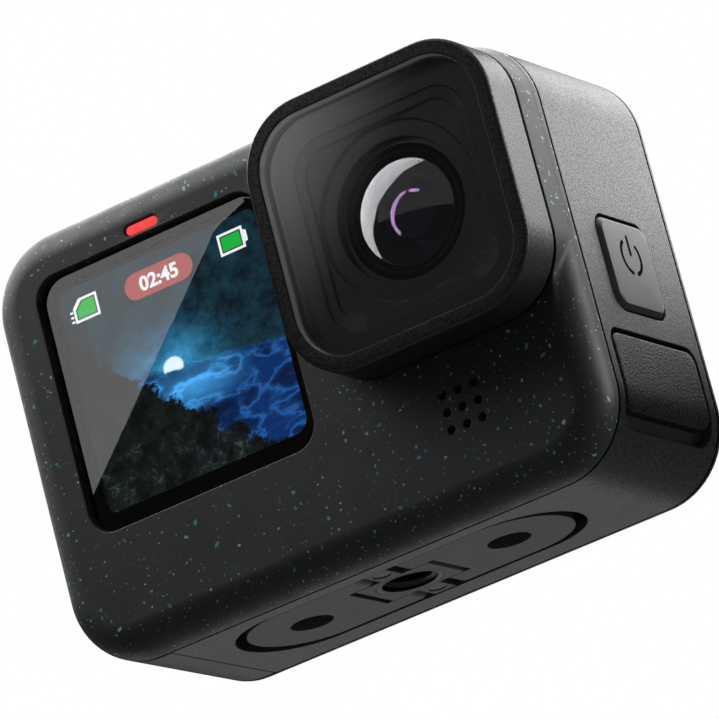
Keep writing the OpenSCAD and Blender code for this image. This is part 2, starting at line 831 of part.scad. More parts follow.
module battery() {
  color("gray") block([battery_x0, battery_y0, battery_z0],
                      [battery_x0 + battery_l, battery_y0 + battery_t, battery_z0 + battery_h]);
}

module battery_contacts() {
  color("gold") for (k = [0 : 4])
    block([battery_x0 + battery_l, 5.4 + 1.4 * k, 10], [bay_x1, 6.2 + 1.4 * k, 13]);
}

card_y = -2.2;       // front face of the memory card
card_t = 0.9;
card_l = 15;
card_w = 11;
card_z = 26;
card_gap = 0.08;     // clearance of the card in its slot
slot_l = 17;         // how far in the card slot reaches
usb_z = 11;          // lower edge of the USB port
usb_w = 9;

module memory_card() {
  color("black") block([chassis_x0 + 0.2, card_y, card_z],
                       [chassis_x0 + 0.2 + card_l, card_y + card_t, card_z + card_w]);
}

module card_slot() {
  color("silver") difference() {
    block([chassis_x0 + 1.6, board_back_y, card_z - 1],
          [chassis_x0 + slot_l, card_y + card_t + 0.5, card_z + card_w + 1]);
    block([chassis_x0 + 1.5, card_y - card_gap, card_z - card_gap],
          [chassis_x0 + card_l + 1.2, card_y + card_t + card_gap, card_z + card_w + card_gap]);
  }
}

module usb_port() {
  color("silver") difference() {
    side_slab(chassis_x0 + 0.6, chassis_x0 + 8) rounded(board_back_y, 0, usb_z, usb_z + usb_w, 1.7);
    side_slab(chassis_x0 + 0.5, chassis_x0 + 7)
      rounded(board_back_y + 0.4, -0.4, usb_z + 0.4, usb_z + usb_w - 0.4, 1.3);
  }
}

speaker_back_y = chassis_y + plate_t;   // the speaker rests on the chassis plate

module speaker() {
  color("black") block([inner_x - 3, speaker_back_y, corner_r + 0.1],
                       [inner_x, speaker_back_y + 10, speaker_z1]);
}

// ---- folding fingers -------------------------------------------------------------------

// The block between the fingers: a hub that carries the thread, and a rib each way.
module tripod_block() {
  color("gray") difference() {
    union() {
      block([-rib_half, mount_y - pocket_r, 0.1], [rib_half, mount_y + pocket_r, pocket_h]);
      block([-hinge_x - 0.6, mount_y - hub_half, 0.1], [hinge_x + 0.6, mount_y + hub_half, pocket_h]);
      intersection() {
        for (x = [-1, 1])
          pin_y(x * hinge_x, hinge_z, mount_y - hub_half, mount_y + hub_half, hub_end_r);
        block([-pocket_r, mount_y - pocket_r, 0.1], [pocket_r, mount_y + pocket_r, pocket_h]);
      }
    }
    translate([0, mount_y, 0]) cylinder(h = pocket_h + eps, r = insert_r);
    for (y = [-1, 1]) translate([0, mount_y + rib_screw_y * y, 0]) {
      cylinder(h = pocket_h + eps, r = 0.55);
      cylinder(h = 1, r = 1.05);
    }
  }
}

module tripod_insert() {
  color("silver") translate([0, mount_y, 0.1]) difference() {
    cylinder(h = tripod_depth - 0.1, r = insert_r);
    translate([0, 0, -eps]) cylinder(h = tripod_depth + 1, r = tripod_r);
  }
}

module tripod_block_screws() {
  color("silver") for (y = [-1, 1]) translate([0, mount_y + rib_screw_y * y, 0]) {
    translate([0, 0, 1]) cylinder(h = pocket_h + 0.2, r = 0.5);
    translate([0, 0, 0.2]) cylinder(h = 0.8, r = 1);
  }
}

web_x = hinge_x + 2.5;                  // where a finger's two knuckles join

module finger() {
  difference() {
    union() {
      translate([0, 0, 0.1]) linear_extrude(finger_t) {
        translate([eye_x, 0]) circle(finger_r);
        translate([web_x, -finger_r]) square([eye_x - web_x, 2 * finger_r]);
        for (y = [hub_half + slip, -finger_r])
          translate([hinge_x, y]) square([web_x - hinge_x + 0.1, finger_r - hub_half - slip]);
      }
      for (y = [hub_half + slip, -finger_r])
        pin_y(hinge_x, hinge_z, y, y + finger_r - hub_half - slip, finger_t / 2);
    }
    translate([eye_x, 0, 0]) cylinder(h = finger_t + 1, r = eye_r);
    pin_y(hinge_x, hinge_z, -finger_r - 1, finger_r + 1, pin_r + fit);
  }
}

module finger_right() {
  color("gray") translate([0, mount_y, 0]) finger();
}

module finger_left() {
  color("gray") translate([0, mount_y, 0]) mirror([1, 0, 0]) finger();
}

module finger_pins() {
  pin_l = pocket_r - hub_half + pin_reach;
  color("silver") for (x = [-1, 1], y = [mount_y - hub_half - pin_l, mount_y + hub_half])
    pin_y(x * hinge_x, hinge_z, y, y + pin_l, pin_r);
}

module body_screws() {
  color("silver") for (spot = screw_spots) translate([spot[0], 0, spot[1]]) {
    slab(screw_y0, chassis_y + plate_t) circle(screw_r);
    slab(chassis_y + plate_t, chassis_y + plate_t + 0.8) circle(1);
  }
}

front_cover();
main_housing();
rear_bezel();
chassis();
speaker_cover();
front_screen_glass();
front_screen_gasket();
front_display();
rear_touch_glass();
rear_display();
lens_cover_frame();
lens_cover_glass();
lens_cover_baffle();
lens_cover_seal();
lens_collar();
collar_screws();
lens_barrel();
lens_retainer();
front_element();
inner_lenses();
aperture_stop();
lens_holder();
ir_filter();
image_sensor();
sensor_board();
sensor_screws();
main_board();
processor();
heat_spreader();
sensor_flex();
front_status_light();
microphone();
shutter_button();
shutter_ring();
shutter_switch();
button_board();
mode_button();
mode_seal();
mode_switch();
battery_door();
door_hinge_pin();
door_latch();
door_seal();
battery();
battery_contacts();
memory_card();
card_slot();
usb_port();
speaker();
tripod_block();
tripod_insert();
finger_left();
finger_right();
finger_pins();
body_screws();
tripod_block_screws();
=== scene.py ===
# %% [markdown]
# # An action camera, dressed piece by piece
#
# A small rounded box with a square lens cover, a screen on the front, a screen on the back, two
# buttons and two folding fingers round a tripod thread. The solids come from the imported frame,
# which also says where everything is. This script dresses them: shapes that need soft edges are
# worked out again as surfaces with numpy, and everything gets a finish made of shader nodes.
#
# Lengths in the helpers are millimetres, because that is how such a product is drawn. They
# become metres at one place, where a mesh is made.

# %% Load the frame
import math

import bmesh
import bpy
import numpy as np
from mathutils import Matrix, Vector
from mathutils.geometry import delaunay_2d_cdt


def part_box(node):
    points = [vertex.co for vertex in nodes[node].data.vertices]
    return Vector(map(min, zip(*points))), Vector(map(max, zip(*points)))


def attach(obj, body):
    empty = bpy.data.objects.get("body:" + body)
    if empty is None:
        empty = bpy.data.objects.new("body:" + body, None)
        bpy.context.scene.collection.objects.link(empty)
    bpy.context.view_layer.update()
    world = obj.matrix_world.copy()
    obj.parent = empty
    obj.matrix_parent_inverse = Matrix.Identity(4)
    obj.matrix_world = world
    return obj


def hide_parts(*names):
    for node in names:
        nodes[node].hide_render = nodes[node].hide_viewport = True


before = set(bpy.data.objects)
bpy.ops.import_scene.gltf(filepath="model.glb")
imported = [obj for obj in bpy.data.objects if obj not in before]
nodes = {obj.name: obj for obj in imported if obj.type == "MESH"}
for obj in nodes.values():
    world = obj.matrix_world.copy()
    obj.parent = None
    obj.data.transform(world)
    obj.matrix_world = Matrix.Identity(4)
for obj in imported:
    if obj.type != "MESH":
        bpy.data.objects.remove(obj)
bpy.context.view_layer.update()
MM = 0.001


def ends(node):
    """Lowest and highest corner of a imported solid, in millimetres."""
    low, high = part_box(node)
    return np.array(low) / MM, np.array(high) / MM


# %% [markdown]
# ## The camera that looks at it
#
# The object is seen from the front right and from a little below, through a long lens, so that
# its parallel edges hardly converge. A camera is a place and three directions: forward, up and
# the side that follows from them. Because the view is from below, the floor lies well under the
# object and only the white backdrop shows behind it.

# %% Camera
VIEW_FROM = (0.35261, -0.66223, -0.20868)
VIEW_FORWARD = Vector((-0.4456, 0.8442, 0.2979)).normalized()
VIEW_UP = Vector((0.3585, -0.1366, 0.9235))
LENS_MM = 354.9

camera_data = bpy.data.cameras.new("view")
camera_data.lens = LENS_MM
camera_data.shift_x, camera_data.shift_y = -0.0016, -0.001
camera_data.clip_start, camera_data.clip_end = 0.01, 20
camera = bpy.data.objects.new("view", camera_data)
side = VIEW_FORWARD.cross(VIEW_UP).normalized()
up = side.cross(VIEW_FORWARD)
turn = Matrix((side, up, -VIEW_FORWARD)).transposed()
camera.matrix_world = Matrix.Translation(VIEW_FROM) @ turn.to_4x4()
bpy.context.scene.collection.objects.link(camera)
bpy.context.scene.camera = camera
print("camera", round(Vector(VIEW_FROM).length, 3), "m from the base's middle")

# %% [markdown]
# ## Shader nodes in a few words
#
# Materials and the world are nets of shader nodes. One helper adds a node, fills its inputs and
# links what comes from another node. A few more write the steps that come back all the time: a
# sum, a stretch from one range to another, a mix of colours and a noise.

# %% Node steps
def add(tree, kind, inputs=None, **settings):
    """Adds a shader node with its settings, and fills its inputs: a socket is linked, anything
    else is a fixed value."""
    node = tree.nodes.new("ShaderNode" + kind)
    for key, value in settings.items():
        setattr(node, key, value)
    for key, value in (inputs or {}).items():
        if isinstance(value, bpy.types.NodeSocket):
            tree.links.new(value, node.inputs[key])
        else:
            node.inputs[key].default_value = value
    return node


def math_node(tree, operation, a, b=0.0, c=0.0):
    """One sum on a number or a socket."""
    return add(tree, "Math", {0: a, 1: b, 2: c}, operation=operation).outputs[0]


def vector_node(tree, operation, a, b):
    """One sum on two vectors, part by part."""
    return add(tree, "VectorMath", {0: a, 1: b}, operation=operation).outputs["Vector"]


def length_of(tree, a):
    """The length of a vector."""
    return add(tree, "VectorMath", {0: a}, operation="LENGTH").outputs["Value"]


def remap(tree, value, low, high, new_low=0.0, new_high=1.0):
    """Stretches low..high to new_low..new_high and holds it there."""
    return add(tree, "MapRange", {"Value": value, "From Min": low, "From Max": high,
                                  "To Min": new_low, "To Max": new_high}).outputs["Result"]


def mix_colour(tree, factor, a, b):
    """The colour a where factor is 0 and b where it is 1."""
    a, b = (v if isinstance(v, bpy.types.NodeSocket) else (*v, 1) for v in (a, b))
    return add(tree, "Mix", {0: factor, 6: a, 7: b}, data_type="RGBA").outputs[2]


def noise(tree, coords, scale, detail=2.0, roughness=0.5):
    """A cloudy value near one half. Each step of detail adds a noise of twice the scale, times
    the roughness."""
    return add(tree, "TexNoise", {"Vector": coords, "Scale": scale, "Detail": detail,
                                  "Roughness": roughness}).outputs["Fac"]


def mix_shaders(tree, factor, a, b):
    """The shader a where factor is 0 and b where it is 1."""
    return add(tree, "MixShader", {0: factor, 1: a.outputs[0], 2: b.outputs[0]})


def square(u0, u1, v0, v1):
    """The corners of a rectangle, in turn."""
    return np.array([(u0, v0), (u1, v0), (u1, v1), (u0, v1)])


# %% [markdown]
# ## Light
#
# Dark plastic shows its shape by what it mirrors, so most of the light comes from glowing cards
# placed where the surfaces look. A card's glow fades across it, which makes a surface go from
# bright to dark, and Blender's light linking lets a card shine on chosen pieces only. A soft
# panel above and a weak one below keep the rest grey. The white behind the object is only seen
# by the camera and through glass: it lights nothing, and mirrors show a dim level in its place.

# %% World
WORLD_LEVEL, WORLD_IN_MIRRORS, WORLD_COLOUR = 0.12, 0.045, (0.93, 0.96, 1.0, 1)

scene = bpy.context.scene
scene.view_settings.view_transform = "Standard"
world = bpy.data.worlds.new("studio")
scene.world = world
world.use_nodes = True
sky_tree = world.node_tree
sky_tree.nodes.clear()
rays = add(sky_tree, "LightPath").outputs
world_level = remap(sky_tree, rays["Is Glossy Ray"], 0.0, 1.0, WORLD_LEVEL, WORLD_IN_MIRRORS)
dim = add(sky_tree, "Background", {"Color": WORLD_COLOUR, "Strength": world_level})
white = add(sky_tree, "Background", {"Color": (1, 1, 1, 1)})
seen = math_node(sky_tree, "MAXIMUM", rays["Is Camera Ray"], rays["Is Transmission Ray"])
add(sky_tree, "OutputWorld", {"Surface": mix_shaders(sky_tree, seen, dim, white).outputs[0]})
print("the world's light", WORLD_LEVEL, "and its level in mirrors", WORLD_IN_MIRRORS)


# %% Panels and glowing cards
def panel(name, place, target, width, height, strength):
    """A flat lamp at place that faces target. Its power is strength, the brightness of its
    face, times its area times pi, so that a bigger panel looks equally bright in a mirror."""
    data = bpy.data.lights.new(name, "AREA")
    data.shape = "RECTANGLE"
    data.size, data.size_y = width, height
    data.energy = strength * width * height * math.pi
    lamp = bpy.data.objects.new(name, data)
    aim = (Vector(target) - Vector(place)).normalized()
    lamp.matrix_world = Matrix.Translation(place) @ aim.to_track_quat("-Z", "Y").to_matrix().to_4x4()
    lamp.visible_camera = False
    scene.collection.objects.link(lamp)


def card(name, middle, outward, corners, fade_from, fade_to, strength):
    """A glowing card that only mirrors and surfaces see. It stands across the direction
    outward, with its corners given sideways and upwards from the middle. Its glow is strength
    times s * s * (3 - 2 s), where s goes from 0 at fade_from to 1 at fade_to. It hides nothing
    behind it, so one card doesn't shade another."""
    out = Vector(outward).normalized()
    across = out.cross((0, 0, 1)).normalized()
    rise = across.cross(out)
    spot = lambda c: Vector(middle) + across * c[0] + rise * c[1]
    mesh = bpy.data.meshes.new(name)
    mesh.from_pydata([spot(c) for c in corners], [], [tuple(range(len(corners)))])
    lit = bpy.data.materials.new(name)
    lit.use_nodes = True
    tree = lit.node_tree
    tree.nodes.remove(tree.nodes["Principled BSDF"])
    step = spot(fade_to) - spot(fade_from)
    begin = spot(fade_from).dot(step) / step.length_squared
    coords = add(tree, "TexCoord").outputs["Object"]
    along = add(tree, "VectorMath", {0: coords, 1: step / step.length_squared}, operation="DOT_PRODUCT")
    level = add(tree, "MapRange", {"Value": along.outputs["Value"], "From Min": begin, "From Max": begin + 1,
                                   "To Max": strength}, interpolation_type="SMOOTHSTEP")
    emit = add(tree, "Emission", {"Strength": level.outputs["Result"]})
    both = add(tree, "AddShader", {0: emit.outputs[0], 1: add(tree, "BsdfTransparent").outputs[0]})
    tree.links.new(both.outputs[0], tree.nodes["Material Output"].inputs["Surface"])
    mesh.materials.append(lit)
    obj = bpy.data.objects.new(name, mesh)
    obj.visible_camera = obj.visible_shadow = False
    scene.collection.objects.link(obj)
    return obj


# %% [markdown]
# ### Where the cards stand
#
# A card shows in a smooth face only where that face mirrors it to the eye. For a flat face the
# way there is the view's own direction with one part turned round: x for the right wall, y for
# the front. A rounded face looks another way at each point, so the cards for edges, domes and
# the shell's soft hollow were placed by trial.

# %% Where the cards stand
# The way the view looks beyond the object, and its ways after the right wall and the front.
BEYOND = VIEW_FORWARD
OFF_RIGHT = Vector((-BEYOND.x, BEYOND.y, BEYOND.z))
OFF_FRONT = Vector((BEYOND.x, -BEYOND.y, BEYOND.z))
BEHIND = (-0.223, 0.422, 0.165)
# The right card stands close to the side wall, so that the wall goes from bright to dark.
card("card_right", (0.0537, 0.034, 0.0372), OFF_RIGHT, square(-0.022, 0.026, -0.016, 0.042),
     (0, -0.0145), (-0.012, 0.0055), 4.1)
# The edge card grazes the front shell's rounded side and makes it bright towards the seam.
card_edge = card("card_edge", (0.27, 0.045, 0.075), (0.93, 0.187, 0.298), square(-0.06, 0.04, -0.09, 0.09),
                 (0.045, 0), (0.02, 0), 8.5)
# Its partner on the far left does the same for the upper left corner.
card("card_far_left", (-0.234, 0.156, 0.20), (-0.68, 0.52, 0.52), square(-0.12, 0.14, -0.09, 0.2),
     (0, -0.09), (0, 0.06), 3.0)
# The backdrop card stands behind, where grazing light comes from: edges fade towards white.
card("card_backdrop", BEHIND, BEYOND, square(-0.5, 0.16, -0.04, 0.5), (0, -0.03), (0, 0.05), 1.6)
# Its stronger end on the right is for the shell's neck behind the lens cover.
card_neck = card("card_neck", BEHIND, BEYOND, square(0.0, 0.4, -0.04, 0.5), (0, 0), (0.06, 0), 3.5)
# The shell card lights the front from the upper left, but no glass mirrors it.
card_shell = card("card_shell", (-0.13, -0.13, 0.12), (-0.6, -0.7, 0.4), square(-0.07, 0.15, -0.09, 0.17),
                  (-0.01, -0.02), (0.02, 0.08), 4.8)
# The left card's slanting edge is the line of light across the front screen.
card_left = card("card_left", (-0.178, -0.348, 0.149), OFF_FRONT,
                 [(-0.0107, 0.0467), (0.0615, -0.0397), (0.184, 0.063), (0.112, 0.149)],
                 (-0.0004, 0), (0.0005, 0.0005), 2.3)
# The small card fades across the lens cover's glass.
card_lens = card("card_lens", (-0.045, -0.094, 0.060), OFF_FRONT,
                 [(-0.039, 0.034), (-0.003, -0.015), (-0.003, 0.04), (-0.039, 0.04)],
                 (-0.0302, 0.0213), (-0.008, 0.037), 2.8)
# Two cards that only the lens elements show: the bright crescent and the pale upper half.
card_crescent = card("card_crescent", (-0.1967, -0.1811, 0.1272), (-0.75, -0.58, 0.32),
                     [(-0.184, 0.118), (-0.123, 0.080), (-0.072, 0.028), (-0.050, -0.019), (-0.057, -0.070),
                      (0.03, -0.09), (0.04, 0.15), (-0.133, 0.16)], (-0.26, 0), (-0.2, 0), 7.0)
card_upper = card("card_upper", (-0.114, -0.265, 0.124), OFF_FRONT,
                  [(0.05, 0.0), (0.05, 0.16), (-0.22, 0.16), (-0.22, -0.02)], (0.16, 0), (0.1, 0), 0.4)
MIDDLE = (0, 0, 0.025)
panel("panel_top", (0.0, -0.05, 0.45), MIDDLE, 0.4, 0.4, 1.0)
panel("panel_below", (-0.30, 0.33, -0.30), MIDDLE, 0.5, 0.4, 0.53)
print("the backdrop card stands", round(Vector(BEHIND).length, 2), "m away")

# %% [markdown]
# ## Outlines, rows and fillings
#
# Nearly every part of a moulded camera is the same idea: an outline with round corners, carried
# through a few depths while it grows or shrinks, with flat faces that may have openings. So a
# shape is built from three things. An outline is a function that gives a closed line of points
# for any growth. Rows carry an outline along a profile of (growth, height) pairs. A filling
# closes a flat face between outlines. Height is measured along the way the part faces.

# %% Outlines
CORNER_STEPS, LEAST_R = 10, 0.01


def turn_points(steps, start=0.0, sweep=math.tau):
    """Directions on a circle: the cosine and sine of steps + 1 angles from start over sweep."""
    a = start + np.linspace(0, sweep, steps + 1)
    return np.stack([np.cos(a), np.sin(a)], 1)


def round_rect(u0, u1, v0, v1, r, steps=CORNER_STEPS, spacing=None):
    """An outline function for a rectangle with round corners. A point is the corner's centre,
    which lies r inside both sides, plus the radius times a direction; growth adds to the radius.
    With spacing, the straight sides get points about that far apart."""

    def outline(grow=0.0):
        """The corners' arcs, with points on the sides between them where spacing asks."""
        radius = max(r + grow, LEAST_R)
        inset = r if r + grow >= LEAST_R else LEAST_R - grow
        corners = [(u1 - inset, v1 - inset), (u0 + inset, v1 - inset),
                   (u0 + inset, v0 + inset), (u1 - inset, v0 + inset)]
        parts = [np.array(c) + radius * turn_points(steps, k * math.pi / 2, math.pi / 2)
                 for k, c in enumerate(corners)]
        if spacing is None:
            return np.concatenate(parts)
        filled = []
        for part, following in zip(parts, parts[1:] + parts[:1]):
            a, b = part[-1], following[0]
            count = sides[len(filled) // 2 % 2]
            t = np.linspace(0, 1, count + 1)[1:-1, None]
            filled += [part, a + t * (b - a)]
        return np.concatenate(filled)

    sides = ([max(1, round((u1 - u0 - 2 * r) / spacing)), max(1, round((v1 - v0 - 2 * r) / spacing))]
             if spacing else None)
    return outline


def disc(u, v, r, steps=48):
    """An outline function for a circle: its centre plus the grown radius times a direction."""
    return lambda grow=0.0: np.array([u, v]) + (r + grow) * turn_points(steps)[:-1]


def soft_edge(radius, top=0.0, steps=4, outward=-1):
    """The (growth, height) pairs of a rounded edge: a quarter circle that starts on the side,
    radius below the top, and ends on the top, radius further in, or out for outward = 1."""
    a = np.linspace(0, math.pi / 2, steps + 1)
    return [(outward * radius * (1 - math.cos(t)), top - radius * (1 - math.sin(t))) for t in a]


# The ways a part can face: how (across, along, height) become (x, y, z).
FACES = {
    "front": lambda p: np.stack([p[:, 0], -p[:, 2], p[:, 1]], 1),
    "back": lambda p: np.stack([-p[:, 0], p[:, 2], p[:, 1]], 1),
    "right": lambda p: np.stack([p[:, 2], p[:, 0], p[:, 1]], 1),
    "left": lambda p: np.stack([-p[:, 2], -p[:, 0], p[:, 1]], 1),
    "top": lambda p: p,
    "base": lambda p: np.stack([p[:, 0], -p[:, 1], -p[:, 2]], 1),
}
print("a part can face:", ", ".join(FACES))


# %% Shapes from rows and fillings
WELD = 2e-4


def inside(points, loops):
    """True where a point is in the area between closed lines: a ray to the right crosses their
    sides an odd number of times. A side is crossed where its ends lie above and below."""
    crossed = np.zeros(len(points), int)
    for loop in loops:
        a, b = loop, np.roll(loop, -1, 0)
        above = a[None, :, 1] > points[:, 1, None]
        span = above != (b[None, :, 1] > points[:, 1, None])
        rise = np.where(b[:, 1] == a[:, 1], 1e-12, b[:, 1] - a[:, 1])
        at = a[:, 0] + (points[:, 1, None] - a[:, 1]) * (b[:, 0] - a[:, 0]) / rise
        crossed += (span & (at > points[:, 0, None])).sum(1)
    return crossed % 2 == 1


class Shape:
    """Points and faces of one piece, gathered part by part and welded at the end. It faces one
    of the ways above, or follows a function of its own."""

    def __init__(self, faces="front"):
        """Starts empty, facing one of the ways of FACES or a given function's way."""
        self.place = faces if callable(faces) else FACES[faces]
        self.points, self.faces, self.count = [], [], 0

    def add(self, points, faces):
        """Turns (across, along, height) into x, y and z, and counts faces on from those before."""
        points = np.asarray(points, float)
        self.points.append(self.place(points))
        self.faces += (np.asarray(faces) + self.count).tolist()
        self.count += len(points)
        return self

    def grid(self, points):
        """Four-sided faces between neighbours of a (rows, columns, 3) array of points, where the
        last column joins the first."""
        rows, cols = points.shape[:2]
        r, c = np.meshgrid(np.arange(rows - 1), np.arange(cols), indexing="ij")
        d = (c + 1) % cols
        quads = np.stack([r * cols + c, r * cols + d, (r + 1) * cols + d, (r + 1) * cols + c], -1)
        return self.add(points.reshape(-1, 3), quads.reshape(-1, 4))

    def rows(self, outline, profile):
        """The outline carried along a profile of (growth, height) pairs."""
        return self.grid(np.stack([np.column_stack([loop, np.full(len(loop), h)])
                                   for loop, h in ((outline(g), h) for g, h in profile)]))

    def fill(self, loops, height, extra=None):
        """A flat face at a height between closed lines, cut into triangles. A triangle stays if
        its middle is between the lines. Extra points may be given for a fine net."""
        starts = np.cumsum([0] + [len(loop) for loop in loops])
        edges = np.concatenate([np.stack([np.arange(a, b), np.r_[np.arange(a + 1, b), a]], 1)
                                for a, b in zip(starts[:-1], starts[1:])])
        flat = np.concatenate(loops if extra is None else [*loops, extra])
        found = delaunay_2d_cdt(flat.tolist(), edges.tolist(), [], 0, 1e-7)
        verts = np.array([tuple(v) for v in found[0]])
        tris = np.array([t for t in found[2] if len(t) == 3])
        tris = tris[inside(verts[tris].mean(1), loops)]
        return self.add(np.column_stack([verts, np.full(len(verts), height)]), tris)

    def cap(self, outline, height, grow=0.0):
        """A flat face without openings."""
        return self.fill([outline(grow)], height)


def close(mesh, weld):
    """Points nearer than weld become one, and faces are turned outwards."""
    work = bmesh.new()
    work.from_mesh(mesh)
    bmesh.ops.remove_doubles(work, verts=work.verts, dist=weld)
    bmesh.ops.recalc_face_normals(work, faces=work.faces)
    work.to_mesh(mesh)
    work.free()


def mesh_of(shape, name, sharp):
    """A mesh in metres: the shape's points welded where they meet, and shaded smooth except
    along edges that turn by more than sharp degrees."""
    mesh = bpy.data.meshes.new(name)
    mesh.from_pydata((np.concatenate(shape.points) * MM).tolist(), [], shape.faces)
    close(mesh, WELD * MM)
    mesh.shade_smooth()
    mesh.set_sharp_from_angle(angle=math.radians(sharp))
    return mesh


def paint(obj, finish, where):
    """Gives a second finish to the faces where the test on their middles, in millimetres, is
    true."""
    count = len(obj.data.polygons)
    middles = np.empty(count * 3)
    obj.data.polygons.foreach_get("center", middles)
    obj.data.materials.append(finish)
    chosen = np.empty(count, np.int32)
    obj.data.polygons.foreach_get("material_index", chosen)
    chosen[where(middles.reshape(-1, 3) / MM)] = len(obj.data.materials) - 1
    obj.data.polygons.foreach_set("material_index", chosen)


def piece(shape, name, finish, body, replaces=(), sharp=35):
    """A finished piece on a body. Flat faces keep flat shading next to their rounded edges,
    because a normal is weighted by the area of the faces round it."""
    obj = bpy.data.objects.new(name, mesh_of(shape, name, sharp))
    obj.data.materials.append(finish)
    scene.collection.objects.link(obj)
    even = obj.modifiers.new("even_shading", "WEIGHTED_NORMAL")
    even.keep_sharp = True
    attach(obj, body)
    if replaces:
        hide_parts(*replaces)
    print(f"{name}: {len(obj.data.vertices)} points, {len(obj.data.polygons)} faces")
    return obj


# %% [markdown]
# ## Finishes
#
# Nothing real is one even colour. So a finish reads the place on the object, makes a grain from
# it, and lets the grain push the surface up and down and change its gloss a little. A picture
# could do that too, but a grain that is worked out has no seams and needs no file. Scales are
# per metre, so a grain of 0.2 mm has a scale near 5000. Constant values sit on the shader itself.

# %% Bumps and new finishes
def bump(tree, height, depth_mm, normal=None):
    """A bump whose full height is depth_mm."""
    sockets = {"Height": height, "Distance": depth_mm * MM, "Strength": 1.0}
    return add(tree, "Bump", sockets | ({"Normal": normal} if normal else {})).outputs["Normal"]


def new_finish(name, **sockets):
    """A material with one Principled shader, whose plain values are given by name. Gives back
    the material, its nodes, the shader and the place on the object."""
    made = bpy.data.materials.new(name)
    made.use_nodes = True
    tree = made.node_tree
    shader = tree.nodes["Principled BSDF"]
    for key, value in sockets.items():
        shader.inputs[key.replace("_", " ")].default_value = value
    return made, tree, shader, add(tree, "TexCoord").outputs["Object"]


# %% [markdown]
# ### Moulded plastic
#
# The housing is spark-eroded plastic: a fine sandy surface. Two noises make it, one for the
# sand and one that is wider and weaker for the unevenness of gloss. The tops of the sand are
# polished by wear and the hollows are not, so the sand changes the mirroring too, which is what
# one sees of it in slanting light. Cut edges are never knife sharp, so a Bevel node turns the
# shading near an edge as a small radius would.

# %% Plastic with sandy grain
SHINE, UNEVEN = 1.6, 0.015


def sandy_plastic(name, colour, rough=0.5, grain_mm=0.22, depth_mm=0.035, edge_mm=0.15, tint=0.4,
                  specular=0.5):
    """A noise of grain_mm is the sand, and also the bump. From hollows to tops the colour goes
    from colour times (1 - tint) to colour times (1 + tint), and the mirroring from specular
    times (1 - SHINE tint) to specular times (1 + SHINE tint)."""
    made, tree, shader, coords = new_finish(name)
    sand = noise(tree, coords, 1 / (grain_mm * MM), 1.0, 0.6)
    wide = noise(tree, coords, 260.0, 3.0)
    low, high = SHINE * -tint, SHINE * tint
    tones = [tuple(c * (1 + t) for c in colour) for t in (-tint, tint)]
    tree.links.new(mix_colour(tree, remap(tree, sand, 0.3, 0.7), *tones), shader.inputs["Base Color"])
    gloss = remap(tree, wide, 0.3, 0.7, rough - UNEVEN, rough + UNEVEN)
    tree.links.new(gloss, shader.inputs["Roughness"])
    shine = remap(tree, sand, 0.34, 0.66, specular * (1 + low), specular * (1 + high))
    tree.links.new(shine, shader.inputs["Specular IOR Level"])
    soft = add(tree, "Bevel", {"Radius": edge_mm * MM}, samples=4).outputs[0] if edge_mm else None
    tree.links.new(bump(tree, sand, depth_mm, soft), shader.inputs["Normal"])
    return made


def smooth_black(name, colour, rough, **more):
    """Black plastic with hardly any grain, as inside a lens."""
    return sandy_plastic(name, colour, rough, edge_mm=0, **{"depth_mm": 0.002, "tint": 0.1, **more})


housing_plastic = sandy_plastic("housing_plastic", (0.05, 0.05, 0.051), rough=0.4)
speaker_plastic = sandy_plastic("speaker_cover_plastic", (0.016, 0.016, 0.017), rough=0.45, grain_mm=0.26,
                                depth_mm=0.07, tint=0.5)
lens_frame_plastic = sandy_plastic("lens_frame_plastic", (0.018, 0.018, 0.019), rough=0.4, tint=0.3,
                                   edge_mm=0)
finger_plastic = sandy_plastic("finger_plastic", (0.07, 0.07, 0.071), rough=0.5, depth_mm=0.012, tint=0.08)
button_plastic = sandy_plastic("button_plastic", (0.08, 0.08, 0.081), rough=0.4, depth_mm=0.006,
                               tint=0.08, edge_mm=0)
inner_plastic = sandy_plastic("inner_black_plastic", (0.018, 0.018, 0.018), rough=0.55, tint=0.1)
red_plastic = sandy_plastic("red_ring_plastic", (0.5, 0.02, 0.02), rough=0.35, depth_mm=0.004, tint=0.06)
seal_rubber = sandy_plastic("seal_rubber", (0.02, 0.02, 0.02), rough=0.75, depth_mm=0.01, tint=0.2)


# %% [markdown]
# ### Front shell with coloured chips
#
# The soft front shell has chips of recycled plastic in it: splinters of blue, teal and white in
# all sizes up to a millimetre. A cell pattern gives every chip its own place, colour and turn.
# The distance from the cell's point, stretched three ways after a random turn, is an
# ellipsoid; where the surface cuts one, a chip shows. Three cell sizes make the mix.

# %% Chips
# Cell size, chip size, share of the cells that have a chip, and how well the chip covers.
CHIP_SIZES = ((0.58, 0.16, 0.66, 0.85), (0.9, 0.25, 0.8, 0.92), (1.8, 0.44, 0.75, 0.95))
CHIP_AXES, CHIP_SPREAD = (1.0, 0.36, 0.5), (0.45, 1.15)
CHIP_FIRST, CHIP_LAST = (0.03, 0.14, 0.16), (0.4, 0.52, 0.52)
CHIP_BETWEEN = ((0.3, (0.08, 0.36, 0.4)), (0.55, (0.06, 0.26, 0.4)), (0.8, (0.26, 0.55, 0.56)))


